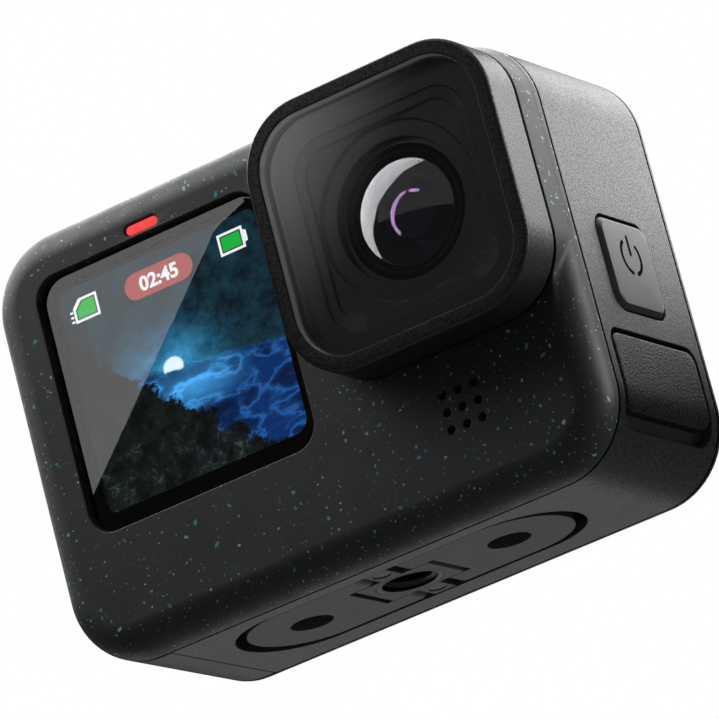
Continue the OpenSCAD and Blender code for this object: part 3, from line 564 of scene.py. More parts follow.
def chips(tree, coords, cell_mm, size_mm, share):
    """1 inside a chip and 0 outside, and the chip's own random colour. A chip's measure is the
    length of (place - point), turned at random and divided by its half axes and its random
    size; a noise added to it makes the rim ragged. Only a share of the cells have a chip."""
    cell = add(tree, "TexVoronoi", {"Vector": coords, "Scale": 1 / (cell_mm * MM), "Randomness": 1.0})
    away = vector_node(tree, "SUBTRACT", coords, cell.outputs["Position"])
    angles = add(tree, "VectorMath", {0: cell.outputs["Color"], "Scale": math.tau}, operation="SCALE")
    turned = add(tree, "VectorRotate", {"Vector": away, "Rotation": angles.outputs["Vector"]},
                 rotation_type="EULER_XYZ").outputs[0]
    scaled = vector_node(tree, "MULTIPLY", turned, tuple(1 / (size_mm * MM * s) for s in CHIP_AXES))
    dice = add(tree, "SeparateColor", {0: cell.outputs["Color"]}).outputs
    size = remap(tree, dice[0], 0.0, 1.0, *CHIP_SPREAD)
    measure = math_node(tree, "DIVIDE", length_of(tree, scaled), size)
    ragged = math_node(tree, "MULTIPLY_ADD", noise(tree, coords, 9000.0, 1.0), 0.9, measure)
    there = math_node(tree, "LESS_THAN", dice[1], share)
    return math_node(tree, "MULTIPLY", remap(tree, ragged, 1.5, 1.35), there), dice[2]


def chipped_rubber(name, colour, rough):
    """The base colour with three sizes of chips over it, and a fine soft grain."""
    made, tree, shader, coords = new_finish(name, Specular_IOR_Level=0.5)
    grain = noise(tree, coords, 5200.0, 1.0, 0.6)
    wide = noise(tree, coords, 300.0, 3.0)
    tones = [tuple(c * t for c in colour) for t in (0.85, 1.15)]
    coat = mix_colour(tree, remap(tree, grain, 0.3, 0.7), *tones)
    covered = 0.0
    for cell_mm, size_mm, share, strength in CHIP_SIZES:
        mask, dice = chips(tree, coords, cell_mm, size_mm, share)
        ramp = add(tree, "ValToRGB", {"Fac": dice})
        stops = ramp.color_ramp.elements
        stops[0].color, stops[1].color = (*CHIP_FIRST, 1), (*CHIP_LAST, 1)
        for place, shade in CHIP_BETWEEN:
            stops.new(place).color = (*shade, 1)
        coat = mix_colour(tree, math_node(tree, "MULTIPLY", mask, strength), coat, ramp.outputs["Color"])
        covered = math_node(tree, "MAXIMUM", covered, mask)
    tree.links.new(coat, shader.inputs["Base Color"])
    gloss = remap(tree, wide, 0.3, 0.7, rough - 0.05, rough + 0.05)
    tree.links.new(math_node(tree, "MULTIPLY_ADD", covered, -0.12, gloss), shader.inputs["Roughness"])
    tree.links.new(bump(tree, grain, 0.008), shader.inputs["Normal"])
    return made


front_rubber = chipped_rubber("front_shell_rubber", (0.022, 0.022, 0.023), 0.5)

# %% [markdown]
# ### Glass
#
# A pane in a camera only has to do two things: let what is behind it show, and mirror the
# lamps. Mixing a see-through shader with a mirror by the Fresnel share does that without
# bending light, so the dark parts behind it stay free of noise.

# %% Glass, metal and the rest
SMEAR, GROUND_EDGE = 0.004, (0.75, 0.75, 0.75)


def pane(name, tint, rough, index=1.5, coat=(1, 1, 1), flatten=0.0, ground=None):
    """See-through with a tint; mirrors more at a slant, as glass of that index does. Faint
    smears in the polish change the mirror's blur, and coat tints it. With flatten, the mirror
    acts as one that is less curved: its normal is (normal + flatten * forwards), made 1 long.
    Rays aren't bent here, so the far side gets 1 / index and mirrors as much as the near side.
    With ground, edges that tilt from the front scatter light in that colour."""
    made, tree, shader, coords = new_finish(name)
    tree.nodes.remove(shader)
    clear = add(tree, "BsdfTransparent", {"Color": (*tint, 1)})
    polish = remap(tree, noise(tree, coords, 120.0, 3.0), 0.35, 0.7, rough, rough + SMEAR)
    mirror = add(tree, "BsdfGlossy", {"Roughness": polish, "Color": (*coat, 1)})
    place = add(tree, "NewGeometry").outputs
    bending = remap(tree, place["Backfacing"], 0.0, 1.0, index, 1 / index)
    share = add(tree, "Fresnel", {"IOR": bending})
    if flatten:
        forwards = vector_node(tree, "ADD", place["Normal"], (0, -flatten, 0))
        flatter = add(tree, "VectorMath", {0: forwards}, operation="NORMALIZE").outputs[0]
        tree.links.new(flatter, mirror.inputs["Normal"])
    both = mix_shaders(tree, share.outputs[0], clear, mirror)
    both.name = "glass"
    if ground:
        tilt = math_node(tree, "ABSOLUTE", add(tree, "SeparateXYZ", {0: place["Normal"]}).outputs[1])
        matt = add(tree, "BsdfDiffuse", {"Color": (*ground, 1)})
        both = mix_shaders(tree, remap(tree, tilt, 0.3, 0.9, 1.0, 0.0), both, matt)
    tree.links.new(both.outputs[0], tree.nodes["Material Output"].inputs["Surface"])
    return made


def metal(name, colour, rough, brush=(1.0, 1.0, 1.0)):
    """Bare metal. Its fine tool marks are a noise of (place times brush), so a small number in
    brush stretches them that way."""
    made, tree, shader, coords = new_finish(name, Metallic=1.0)
    marks = noise(tree, vector_node(tree, "MULTIPLY", coords, brush), 3500.0, 3.0)
    shade = mix_colour(tree, marks, tuple(c * 0.8 for c in colour), colour)
    tree.links.new(shade, shader.inputs["Base Color"])
    tree.links.new(remap(tree, marks, 0.3, 0.7, rough - 0.06, rough + 0.08), shader.inputs["Roughness"])
    tree.links.new(bump(tree, marks, 0.003), shader.inputs["Normal"])
    return made


def lit_plastic(name, inner, outer, strength):
    """Plastic that glows. A noise mixes the inner and the outer colour, so that its light is a
    little uneven."""
    made, tree, shader, coords = new_finish(name, Roughness=0.3, Emission_Strength=strength)
    shade = mix_colour(tree, remap(tree, noise(tree, coords, 900.0), 0.35, 0.65), inner, outer)
    tree.links.new(shade, shader.inputs["Emission Color"])
    tree.links.new(shade, shader.inputs["Base Color"])
    return made


def board(name, mask, pad):
    """A circuit board: solder mask with copper lines under it. Round the cells of a square
    pattern, five times the distance is cut to its part after the point, which makes rings."""
    made, tree, shader, coords = new_finish(name, Roughness=0.35)
    cells = add(tree, "TexVoronoi", {"Vector": coords, "Scale": 520.0}, distance="CHEBYCHEV", feature="F1")
    rings = math_node(tree, "FRACT", math_node(tree, "MULTIPLY", cells.outputs["Distance"], 5.0))
    lines = remap(tree, rings, 0.42, 0.5)
    tree.links.new(mix_colour(tree, lines, mask, pad), shader.inputs["Base Color"])
    tree.links.new(bump(tree, lines, 0.02), shader.inputs["Normal"])
    return made


clear_glass = pane("lens_cover_clear_glass", (0.97, 0.98, 0.98), 0.015, ground=GROUND_EDGE)
screen_glass = pane("screen_clear_glass", (0.96, 0.97, 0.98), 0.01)
steel = metal("steel", (0.62, 0.62, 0.63), 0.3)
black_steel = metal("blackened_steel", (0.05, 0.05, 0.05), 0.35)
aluminium = metal("aluminium_sheet", (0.72, 0.73, 0.74), 0.38, (1, 1, 0.05))
copper = metal("copper", (0.85, 0.45, 0.28), 0.3)
gold = metal("gold_plate", (0.95, 0.68, 0.3), 0.22)
light_red = lit_plastic("status_light_red", (1.0, 0.06, 0.055), (0.9, 0.04, 0.04), 0.9)
circuit_board = board("circuit_board", (0.01, 0.09, 0.05), (0.03, 0.16, 0.09))

CAD_FINISHES = {
    housing_plastic: ["main_housing", "rear_bezel", "battery_door", "door_latch", "shutter_button"],
    speaker_plastic: ["speaker_cover"],
    button_plastic: ["mode_button"],
    front_rubber: ["front_cover"],
    lens_frame_plastic: ["lens_cover_frame"],
    finger_plastic: ["finger_left", "finger_right", "tripod_block"],
    inner_plastic: ["lens_cover_baffle", "lens_collar", "lens_barrel", "lens_retainer", "aperture_stop",
                    "lens_holder", "processor", "memory_card", "speaker", "image_sensor", "front_display",
                    "rear_display", "battery"],
    clear_glass: ["lens_cover_glass", "front_element", "inner_lenses", "ir_filter"],
    screen_glass: ["front_screen_glass", "rear_touch_glass"],
    seal_rubber: ["front_screen_gasket", "lens_cover_seal", "mode_seal", "door_seal"],
    red_plastic: ["shutter_ring"],
    light_red: ["front_status_light"],
    steel: ["collar_screws", "sensor_screws", "microphone", "shutter_switch", "mode_switch", "door_hinge_pin",
            "card_slot", "usb_port", "finger_pins", "body_screws"],
    black_steel: ["tripod_insert", "tripod_block_screws"],
    aluminium: ["chassis"],
    copper: ["heat_spreader", "sensor_flex"],
    gold: ["battery_contacts"],
    circuit_board: ["main_board", "sensor_board", "button_board"],
}


def repaint(name, finish):
    """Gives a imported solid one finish."""
    nodes[name].data.materials.clear()
    nodes[name].data.materials.append(finish)


for finish, names in CAD_FINISHES.items():
    for name in names:
        repaint(name, finish)
left_plain = set(nodes) - {n for names in CAD_FINISHES.values() for n in names}
print("solids without a finish:", left_plain or "none")

# %% [markdown]
# ### Blacks, lens glass and the signs' paints
#
# One black could serve for all that is inside a lens, but each part there catches light in its
# own way, so each gets its own. The lens elements have coatings that take the glare off and
# leave a faint violet. The signs shine by themselves, as everything on a lit display does.

# %% Blacks, lens glass and the signs' paints
baffle_black = smooth_black("baffle_black", (0.018, 0.018, 0.019), 0.4)
# Near black for the retaining ring and the aperture stop; on the walls of the seams' grooves the same black
# is painted shade.
black_and_painted_seam_shade = smooth_black("black_and_painted_seam_shade", (0.002, 0.002, 0.002), 0.6, specular=0.12)
collar_black = smooth_black("collar_black", (0.012, 0.012, 0.013), 0.35)
barrel_black = smooth_black("barrel_black", (0.006, 0.006, 0.006), 0.4, specular=0.3)
display_black = smooth_black("display_black", (0.004, 0.004, 0.005), 0.3, depth_mm=0.001)
dome_glass = pane("front_lens_coated_glass", (0.9, 0.9, 0.95), 0.01, index=1.6, coat=(1.0, 0.97, 1.0),
                  flatten=2.2)
hollow_glass = pane("front_lens_inner_side", (0.9, 0.86, 0.94), 0.03, index=1.04)
inner_glass = pane("inner_lens_coated_glass", (0.8, 0.7, 0.85), 0.01, index=2.1, coat=(1.0, 0.6, 0.95))


def sign_paint(name, colour):
    """A lit colour on the display, a little uneven as the picture's cells are."""
    made, tree, shader, coords = new_finish(name, Roughness=0.4, Emission_Strength=1.0)
    cells = remap(tree, noise(tree, coords, 4000.0), 0.3, 0.7, 0.96, 1.0)
    shade = add(tree, "VectorMath", {0: colour, "Scale": cells}, operation="SCALE").outputs[0]
    tree.links.new(shade, shader.inputs["Emission Color"])
    shader.inputs["Base Color"].default_value = (0.02, 0.02, 0.02, 1)
    return made


sign_red = sign_paint("sign_red", (0.42, 0.075, 0.07))
sign_white = sign_paint("sign_white", (0.95, 0.96, 0.95))
sign_green = sign_paint("sign_green", (0.012, 0.47, 0.05))
sign_black = smooth_black("sign_black_paint", (0.003, 0.003, 0.003), 0.9, tint=0.2, specular=0.1)
print("finishes:", len(bpy.data.materials))

# %% [markdown]
# ## Front shell
#
# The front shell is a shallow dish: a flat face, an edge that rounds over on all sides and a rim
# that meets the housing. Round the lens it is different. There the edge doesn't round: a square
# pad comes straight forward to carry the lens cover, and flows into the round edge in a soft
# hollow. Such a blend is easy to say with distances. Take the distance to the rounded shell and
# the distance to the pad, and let the smaller one win softly; the surface is where the result
# is zero. The edge band is then found by going out along rays from a line inside the edge, and
# halving each ray until the zero is met.

# %% Distances
def box_distance(across, along, middle, half, r):
    """Distance to a rectangle with round corners, negative inside: fold to one corner with
    absolute values, shrink by the radius, then the length outside plus the larger one inside."""
    qx = np.abs(across - middle[0]) - half[0] + r
    qz = np.abs(along - middle[1]) - half[1] + r
    return np.hypot(np.maximum(qx, 0), np.maximum(qz, 0)) + np.minimum(np.maximum(qx, qz), 0) - r


def edge_distance(flat, up, r):
    """Joins a distance in the plane with a depth over the top, rounding their edge by r."""
    q, h = flat + r, up + r
    return np.hypot(np.maximum(q, 0), np.maximum(h, 0)) + np.minimum(np.maximum(q, h), 0) - r


def soft_least(a, b, k):
    """The smaller of a and b, eased where they differ by less than k: at most k / 4 is taken
    off, which fills the corner between two surfaces."""
    k = np.maximum(k, 1e-6)
    share = np.clip(0.5 + 0.5 * (b - a) / k, 0, 1)
    return b + (a - b) * share - k * share * (1 - share)


# %% Measures of the shells
(left_x, seam_y, base_z), (right_x, rear_seam_y, top_z) = ends("main_housing")
front_y = ends("front_cover")[0][1]
cover_low, cover_high = ends("lens_cover_frame")
lens_x, lens_z = (cover_low + cover_high)[[0, 2]] / 2
CORNER_R, COVER_R, FRONT_ROUND = 8.8, 8.0, 3.8
SHELL_RIM, SHELL_WALL = 2.2, 1.6
SEAM_WIDTH, SEAM_DEPTH, SEAM_FLOOR = 0.38, 0.5, 0.04
PAD_EDGE, BLEND, BLEND_TURN = 0.06, 4.0, 0.7
EDGE_ROWS, TOP_ROWS = 30, 5
RAY_FAR, HALVINGS = 9.0, 34
front_h = -front_y
body_middle = np.array([(left_x + right_x) / 2, (base_z + top_z) / 2])
body_half = np.array([(right_x - left_x) / 2, (top_z - base_z) / 2])
cover_half = (cover_high - cover_low)[[0, 2]] / 2
body_outline = round_rect(left_x, right_x, base_z, top_z, CORNER_R, 16, spacing=0.6)
print("lens axis", lens_x, lens_z, " front face at", front_y)


# %% Front shell
def pad_distance(across, along, drop):
    """Distance to the lens pad in the plane. The pad is the lens cover's square at the front
    and widens with the drop behind the face, until it meets the body's sides at the seam."""
    t = np.clip(drop / FRONT_ROUND, 0, 1)
    reach = np.minimum(body_middle + body_half - (lens_x, lens_z), cover_half + 1)
    half = [cover_half[i] + t * (reach[i] - cover_half[i]) for i in (0, 1)]
    return box_distance(across, along, (lens_x, lens_z), half, COVER_R + t * (CORNER_R - COVER_R))


def facing(distance, across, along):
    """Direction in which a distance grows, from differences over a small step."""
    step = 0.01
    gx = distance(across + step, along) - distance(across - step, along)
    gz = distance(across, along + step) - distance(across, along - step)
    size = np.maximum(np.hypot(gx, gz), 1e-9)
    return gx / size, gz / size


def shell_distance(across, along, height):
    """Distance to the front shell: rounded shell and pad, softly joined where they face
    different ways, and held inside the face and the body's outline. The softness goes from 0 to
    BLEND as s * s * (3 - 2 s), where s is one minus the two directions' product, over
    BLEND_TURN."""
    body = box_distance(across, along, body_middle, body_half, CORNER_R)
    drop = front_h - height
    pad = pad_distance(across, along, drop)
    bx, bz = facing(lambda u, v: box_distance(u, v, body_middle, body_half, CORNER_R), across, along)
    px, pz = facing(lambda u, v: pad_distance(u, v, drop), across, along)
    apart = np.clip((1 - bx * px - bz * pz) / BLEND_TURN, 0, 1)
    k = BLEND * apart * apart * (3 - 2 * apart)
    joined = soft_least(edge_distance(body, -drop, FRONT_ROUND), edge_distance(pad, -drop, PAD_EDGE), k)
    return np.maximum(np.maximum(joined, -drop), body)


def reach_of(loop, normal, out, climb, base):
    """How far rays go from the inner line at the height base until they meet the surface. A ray
    moves out along the normal and climbs for each millimetre of its length. By halving: the
    middle of near and far replaces far where it lies outside, and near where it lies inside."""
    near, far = np.zeros_like(out), np.full_like(out, RAY_FAR)
    for _ in range(HALVINGS):
        t = (near + far) / 2
        across, along = (loop[:, i:i + 1] + normal[:, i:i + 1] * out * t for i in (0, 1))
        past = shell_distance(across, along, base + climb * t) > 0
        near, far = np.where(past, near, t), np.where(past, t, far)
    return near


def front_shell():
    """Edge band by rays, flat face with its openings, their walls, the rim. Most rows lie below
    the angle of the pad's front edge, which is found just under the face."""
    shape = Shape("front")
    loop = body_outline(-FRONT_ROUND)
    normal = body_outline(1.0) - body_outline(0.0)
    start, level = front_h - FRONT_ROUND, FRONT_ROUND - 0.03
    turn = np.arctan2(level, reach_of(loop, normal, np.ones((len(loop), 1)), 0, start + level))
    share = np.linspace(0, 1, EDGE_ROWS + 1)[None, :]
    rest = np.linspace(0, 1, TOP_ROWS + 1)[None, 1:]
    angle = np.concatenate([turn * share, turn + (math.pi / 2 - turn) * rest], 1)
    t = reach_of(loop, normal, np.cos(angle), np.sin(angle), start)
    side = np.cos(angle) * t
    band = np.stack([loop[:, :1] + normal[:, :1] * side, loop[:, 1:] + normal[:, 1:] * side,
                     start + np.sin(angle) * t], -1).transpose(1, 0, 2)
    band[-1, :, :2], band[-1, :, 2] = loop, front_h
    shape.grid(band)
    back, seam, flange = front_h - SHELL_WALL, -seam_y, -seam_y + SEAM_FLOOR
    shape.rows(body_outline, [(0, start), (0, seam + SEAM_WIDTH), (-SEAM_DEPTH, seam + SEAM_WIDTH),
                              (-SEAM_DEPTH, flange), (-SEAM_FLOOR / 2, flange), (-SEAM_FLOOR / 2, seam),
                              (-SHELL_RIM, seam), (-SHELL_RIM, back)])
    faces, backs = [loop], [body_outline(-SHELL_RIM)]
    for outline, soft in shell_openings():
        shape.rows(outline, [(0, back), (0, front_h - soft), *soft_edge(soft, front_h, outward=1)[1:]])
        faces.append(outline(soft))
        backs.append(outline(0))
    shape.fill(faces, front_h).fill(backs, back)
    return shape


def front_rect(low, high, gap, r, steps=CORNER_STEPS):
    """The outline of a box's X and Z with a gap all round."""
    return round_rect(low[0] - gap, high[0] + gap, low[2] - gap, high[2] + gap, r, steps)


def shell_openings():
    """Outline and edge rounding of every opening in the front face."""
    yield front_rect(*ends("front_screen_glass"), SCREEN_GAP, SCREEN_R, 12), 0.14
    pill_low, pill_high = ends("front_status_light")
    yield front_rect(pill_low, pill_high, GAP, (pill_high - pill_low)[2] / 2 + GAP - LEAST_R), 0.12
    yield disc(lens_x, lens_z, COLLAR_R + GAP, 96), 0.1
    for i in (-1, 0, 1):
        for j in (-1, 0, 1):
            yield disc(GRILLE_X + i * GRILLE_PITCH, GRILLE_Z + j * GRILLE_PITCH, GRILLE_R, 24), 0.06


GAP, SCREEN_GAP, SCREEN_R = 0.05, 0.1, 3.0
COLLAR_R = 12.0
GRILLE_X, GRILLE_Z = 19.2, 11.65
GRILLE_PITCH, GRILLE_R = 2.03, 0.5


def in_shaded_seam(middles):
    """True for the seam's faces, which get painted shade: those drawn in from the body's outline,
    near either seam.
    """
    depth = -box_distance(middles[:, 0], middles[:, 2], body_middle, body_half, CORNER_R)
    near = np.minimum(np.abs(middles[:, 1] - seam_y), np.abs(middles[:, 1] - rear_seam_y))
    return (depth > 0.01) & (near < SEAM_WIDTH + 0.02)


shell = piece(front_shell(), "front_shell", front_rubber, "camera_body", ("front_cover",))
# The seam's groove, and the thin flange at its back that covers the housing's front face, are painted near
# black: painted shade in the groove.
paint(shell, black_and_painted_seam_shade, in_shaded_seam)

# %% [markdown]
# ## Lens cover
#
# The cover is a square frame that twists on over the lens. Its pocket holds a pane of hardened
# glass, and behind that a black baffle steps down from a rounded square to the round opening
# that the lens looks through. The steps keep stray light away, and each is a thin line of light
# in the dark. All of them are outlines on the lens axis, carried through their depths.

# %% Lens cover frame
def lens_rect(width, height, r, steps=14):
    """An outline of a rectangle with round corners on the lens axis."""
    x, z = width / 2, height / 2
    return round_rect(lens_x - x, lens_x + x, lens_z - z, lens_z + z, r, steps)


def lens_disc(r):
    """An outline of a circle on the lens axis."""
    return disc(lens_x, lens_z, r, 96)


glass_low, glass_high = ends("lens_cover_glass")
cover_width = cover_high[0] - cover_low[0]
glass_width = glass_high[0] - glass_low[0]
glass_side = lens_rect(glass_width, glass_width, 6.25)
cover_front_h, cover_back_h = -cover_low[1], -cover_high[1]
glass_front_h, glass_back_h = -glass_low[1], -glass_high[1]
baffle_back_h = -ends("lens_cover_baffle")[1][1]
COVER_EDGE, POCKET_EDGE = 0.5, 0.12
COLLAR_GAP, COVER_STEP, STEP_EDGE = 0.15, 0.4, 0.04
GROOVE_FRONT, GROOVE_BACK, GROOVE_DEPTH = 12.65, 11.45, 0.7
print("lens cover", cover_width, "mm wide, its glass", round(glass_width, 2))


def cover_frame():
    """Side with a soft front edge, pocket for the glass, hole with the bayonet's groove, back."""
    shape = Shape("front")
    side, hole = lens_rect(cover_width, cover_width, COVER_R), lens_disc(COLLAR_R + COLLAR_GAP)
    flange, step = cover_back_h + SEAM_FLOOR, cover_back_h + COVER_STEP
    shape.rows(side, [(-SEAM_FLOOR / 2, cover_back_h), (-SEAM_FLOOR / 2, flange), (-SEAM_DEPTH, flange),
                      (-SEAM_DEPTH, step), (-STEP_EDGE, step), (0, step + STEP_EDGE),
                      *soft_edge(COVER_EDGE, cover_front_h, 6)])
    pocket = lambda grow=0.0: glass_side(GAP + grow)
    shape.rows(pocket, [(0, baffle_back_h), *soft_edge(POCKET_EDGE, cover_front_h, 3, outward=1)])
    shape.rows(hole, [(0, baffle_back_h), (0, GROOVE_FRONT), (GROOVE_DEPTH, GROOVE_FRONT),
                      (GROOVE_DEPTH, GROOVE_BACK), (0, GROOVE_BACK), (0, cover_back_h)])
    shape.fill([side(-COVER_EDGE), pocket(POCKET_EDGE)], cover_front_h)
    shape.fill([pocket(), hole()], baffle_back_h)
    return shape.fill([side(-SEAM_FLOOR / 2), hole()], cover_back_h)


lens_frame = piece(cover_frame(), "cover_frame", lens_frame_plastic, "lens_cover", ("lens_cover_frame",))
# The faces behind the cover's step, in the gap to the pad, are painted near black: painted shade in the gap.
paint(lens_frame, black_and_painted_seam_shade, lambda p: -p[:, 1] < cover_back_h + COVER_STEP - 0.01)


# %% Lens cover glass and baffle
def cover_glass():
    """A pane with a ground edge in front and a bevelled one behind."""
    shape = Shape("front").rows(glass_side, [(-GLASS_EDGE, glass_back_h), (0, glass_back_h + GLASS_EDGE),
                                             *soft_edge(GLASS_EDGE, glass_front_h)])
    return shape.cap(glass_side, glass_front_h, -GLASS_EDGE).cap(glass_side, glass_back_h, -GLASS_EDGE)


def cover_baffle():
    """A lip that carries the glass, a front face, two shelves and a round hole. Each step has
    a fine rounded edge and a hollow at its foot."""
    openings = [lens_rect(*size) for size in BAFFLE_STEPS] + [lens_disc(BAFFLE_HOLE)]
    top, lip = glass_back_h - GLASS_FILM, -BAFFLE_LIP
    shape = Shape("front").rows(glass_side, [(0, baffle_back_h), (0, top), (lip + GAP, top), (lip, top - GAP),
                                             (lip, SHELF_H[0] + SHELF_FOOT), *foot(lip, SHELF_H[0])])
    outer = glass_side(lip - SHELF_FOOT)
    for opening, top, floor in zip(openings, SHELF_H, [*SHELF_H[1:], baffle_back_h]):
        shape.rows(opening, [*foot(0, floor)[::-1], *soft_edge(SHELF_EDGE, top, 3, outward=1)])
        shape.fill([outer, opening(SHELF_EDGE)], top)
        outer = opening(-SHELF_FOOT)
    return shape.fill([glass_side(), outer], baffle_back_h)


def foot(grow, floor):
    """The (growth, height) pairs of the hollow where a wall meets a floor: a quarter circle."""
    a = np.linspace(0, math.pi / 2, 5)
    return [(grow - SHELF_FOOT * (1 - math.cos(t)), floor + SHELF_FOOT * (1 - math.sin(t))) for t in a]


GLASS_EDGE, SHELF_EDGE, SHELF_FOOT = 0.1, 0.08, 0.15
GLASS_FILM, BAFFLE_LIP = 0.02, 0.35
BAFFLE_STEPS = [(22.33, 22.7, 3.9), (20.1, 20.2, 3.2)]
SHELF_H = [14.4, 14.1, 13.72]
BAFFLE_HOLE = 10.05
cover_pane = piece(cover_glass(), "cover_glass", clear_glass, "lens_cover", ("lens_cover_glass",))
baffle = piece(cover_baffle(), "cover_baffle", baffle_black, "lens_cover", ("lens_cover_baffle",))

# %% [markdown]
# ## Lens
#
# Everything in the lens is turned on a lathe: a profile of radius and height, carried round the
# axis. The collar slopes in like a funnel, the barrel shows a thin rim, a retaining ring holds
# the domed front element, and smaller elements lie deeper, each with its own curve.

# %% Lens parts
def lathe(profile, name, finish, replaces, sharp=30):
    """A closed profile of (radius, height) pairs round the lens axis."""
    return piece(Shape("front").rows(lens_disc(0), profile), name, finish, "camera_body", replaces, sharp)


def cap_arc(rim_r, rim_h, rise, steps=24):
    """Radius and height pairs of a spherical cap, from its rim to the axis. The sphere's radius
    is (rim squared + rise squared) / (2 rise), and its centre lies that far under the top."""
    size = (rim_r ** 2 + rise ** 2) / (2 * abs(rise))
    top = math.asin(min(1, rim_r / size))
    a = np.linspace(top, 0, steps + 1)
    sign = math.copysign(1, rise)
    return [(size * math.sin(t), rim_h + rise - sign * size * (1 - math.cos(t))) for t in a]


# Radii of the collar and barrel, then heights from the front of the collar to the barrel's back.
LIP_R, INNER_R, RING_R, RIM_INSIDE, TAIL_R, BORE_R = 9.4, 8.12, 7.1, 6.6, 6.5, 4.6
COLLAR_FRONT, LIP_BACK, RIM_FRONT, SHOULDER, TAIL_FRONT, BARREL_BACK = 13.25, 12.4, 12.3, 11.5, 6.0, 2.2
LIP_T, FLANGE_T, EDGE, FILM = 0.6, 0.9, 0.1, 0.02
DOME_R, DOME_RIM, DOME_RISE, SEAT, RING_BACK = 5.93, 12.0, 1.7, 10.5, 11.6
barrel_r = (ends("lens_barrel")[1] - ends("lens_barrel")[0])[0] / 2
flange_r = (ends("lens_collar")[1] - ends("lens_collar")[0])[0] / 2
face_back_h, collar_bore, seat_r = front_h - SHELL_WALL, barrel_r + GAP, DOME_R + FILM
collar = lathe([(collar_bore, LIP_BACK), (INNER_R, LIP_BACK), (INNER_R, COLLAR_FRONT - 0.08),
                (INNER_R + 0.08, COLLAR_FRONT), (COLLAR_R - EDGE, COLLAR_FRONT),
                (COLLAR_R, COLLAR_FRONT - EDGE), (COLLAR_R, face_back_h), (flange_r, face_back_h),
                (flange_r, face_back_h - FLANGE_T), (LIP_R, face_back_h - FLANGE_T),
                (LIP_R, LIP_BACK - LIP_T), (collar_bore, LIP_BACK - LIP_T), (collar_bore, LIP_BACK)],
               "collar", collar_black, ("lens_collar",))
lathe([(BORE_R, BARREL_BACK), (BORE_R, SEAT), (seat_r, SEAT), (seat_r, RING_BACK), (RIM_INSIDE, RING_BACK),
       (RIM_INSIDE, RIM_FRONT - EDGE), (RIM_INSIDE + EDGE, RIM_FRONT), (RING_R - 0.12, RIM_FRONT),
       (RING_R, RIM_FRONT - 0.15), (barrel_r, SHOULDER), (barrel_r, TAIL_FRONT), (TAIL_R, TAIL_FRONT),
       (TAIL_R, BARREL_BACK), (BORE_R, BARREL_BACK)], "barrel", barrel_black, ("lens_barrel",))
lathe([(seat_r, RING_BACK), (seat_r, DOME_RIM), (DOME_R + EDGE, DOME_RIM + 0.06),
       (RIM_INSIDE - EDGE, DOME_RIM + 0.06), (RIM_INSIDE - FILM, DOME_RIM), (RIM_INSIDE - FILM, RING_BACK),
       (seat_r, RING_BACK)], "retaining_ring", black_and_painted_seam_shade, ("lens_retainer",))
HOLLOW_R, HOLLOW_H, LENS_BACK = 4.4, 7.8, SEAT + FILM
hollow = [(HOLLOW_R * math.cos(a), HOLLOW_H + HOLLOW_R * math.sin(a))
          for a in np.linspace(math.pi / 2, math.asin((LENS_BACK - HOLLOW_H) / HOLLOW_R), 17)]
front_lens = lathe([*cap_arc(DOME_R, DOME_RIM, DOME_RISE)[::-1], (DOME_R, LENS_BACK), *hollow[::-1]],
                   "front_lens", dome_glass, ("front_element",), sharp=40)


def on_back(p):
    """True on the front lens's hollow, a sphere, and on its flat back."""
    from_centre = np.hypot(np.hypot(p[:, 0] - lens_x, p[:, 2] - lens_z), -p[:, 1] - HOLLOW_H)
    return (from_centre < HOLLOW_R + 0.03) | (-p[:, 1] < LENS_BACK + 0.01)


paint(front_lens, hollow_glass, on_back)

# %% [markdown]
# ### Inner lenses
#
# Deep in a lens one hardly sees glass, only the arcs of light that each element mirrors. Flat
# discs would show none. So each element has its own bulge, and a steeper bevel round it that
# mirrors light from further out.

# %% Inner lenses
# Each has its rim radius, rim height, bulge, thickness and the width of the steeper bevel round
# its bulge. The first two stand up into the hollow of the front lens, which is why their
# mirrored arcs are seen so near the front.
INNER = [(2.75, 10.95, 0.1, 1.2, 0.4), (1.7, 9.6, 0.06, 1.3, 0.2),
         (4.58, 7.4, 0.5, 1.3, 0.1), (4.58, 4.6, 0.5, 1.3, 0.1)]
BEVEL_SLOPE = math.tan(math.radians(10))
shape = Shape("front")
for rim, height, rise, thick, bevel in INNER:
    slope = [(rim - t * bevel, height + t * bevel * BEVEL_SLOPE) for t in (0, 0.1, 0.9)]
    cap = cap_arc(rim - bevel, height + bevel * BEVEL_SLOPE, rise, 10)
    shape.rows(lens_disc(0), [*cap[::-1], *slope[::-1], (rim, height - thick), (0, height - thick)])
inner_lens_group = piece(shape, "inner_lens_group", inner_glass, "camera_body", ("inner_lenses",), sharp=40)
repaint("aperture_stop", black_and_painted_seam_shade)

# %% [markdown]
# ### Which pieces a card lights
#
# In a studio, flags and screens keep a lamp off some faces. Here a group of pieces is named for
# a card, and the card is then only seen, and mirrored, by the pieces in it. So the arcs in the
# lens don't come back in the cover's glass, and the glass keeps its own soft fade.

# %% Cards for single pieces
def lights_only(lamp, *parts):
    """Makes a group of the pieces, and has the card light that group alone."""
    group = bpy.data.collections.new(lamp.name + "_lights")
    for part in parts:
        group.objects.link(part)
    lamp.light_linking.receiver_collection = group
    print(lamp.name, "lights", ", ".join(part.name for part in parts))


lights_only(card_crescent, front_lens, inner_lens_group)
lights_only(card_upper, front_lens)
lights_only(card_lens, cover_pane, lens_frame, baffle, collar)
lights_only(card_shell, shell)
lights_only(card_neck, shell)
lights_only(card_edge, shell, lens_frame)

# %% [markdown]
# ## Front screen
#
# A small screen for framing yourself. A pane of glass lies a little under the face, and its
# back is printed black except for a window, so that the display seems to have no edge. The print
# belongs to the glass and is part of its finish: a rounded rectangle, told by the distance to
# its sides. Behind it the display glows.

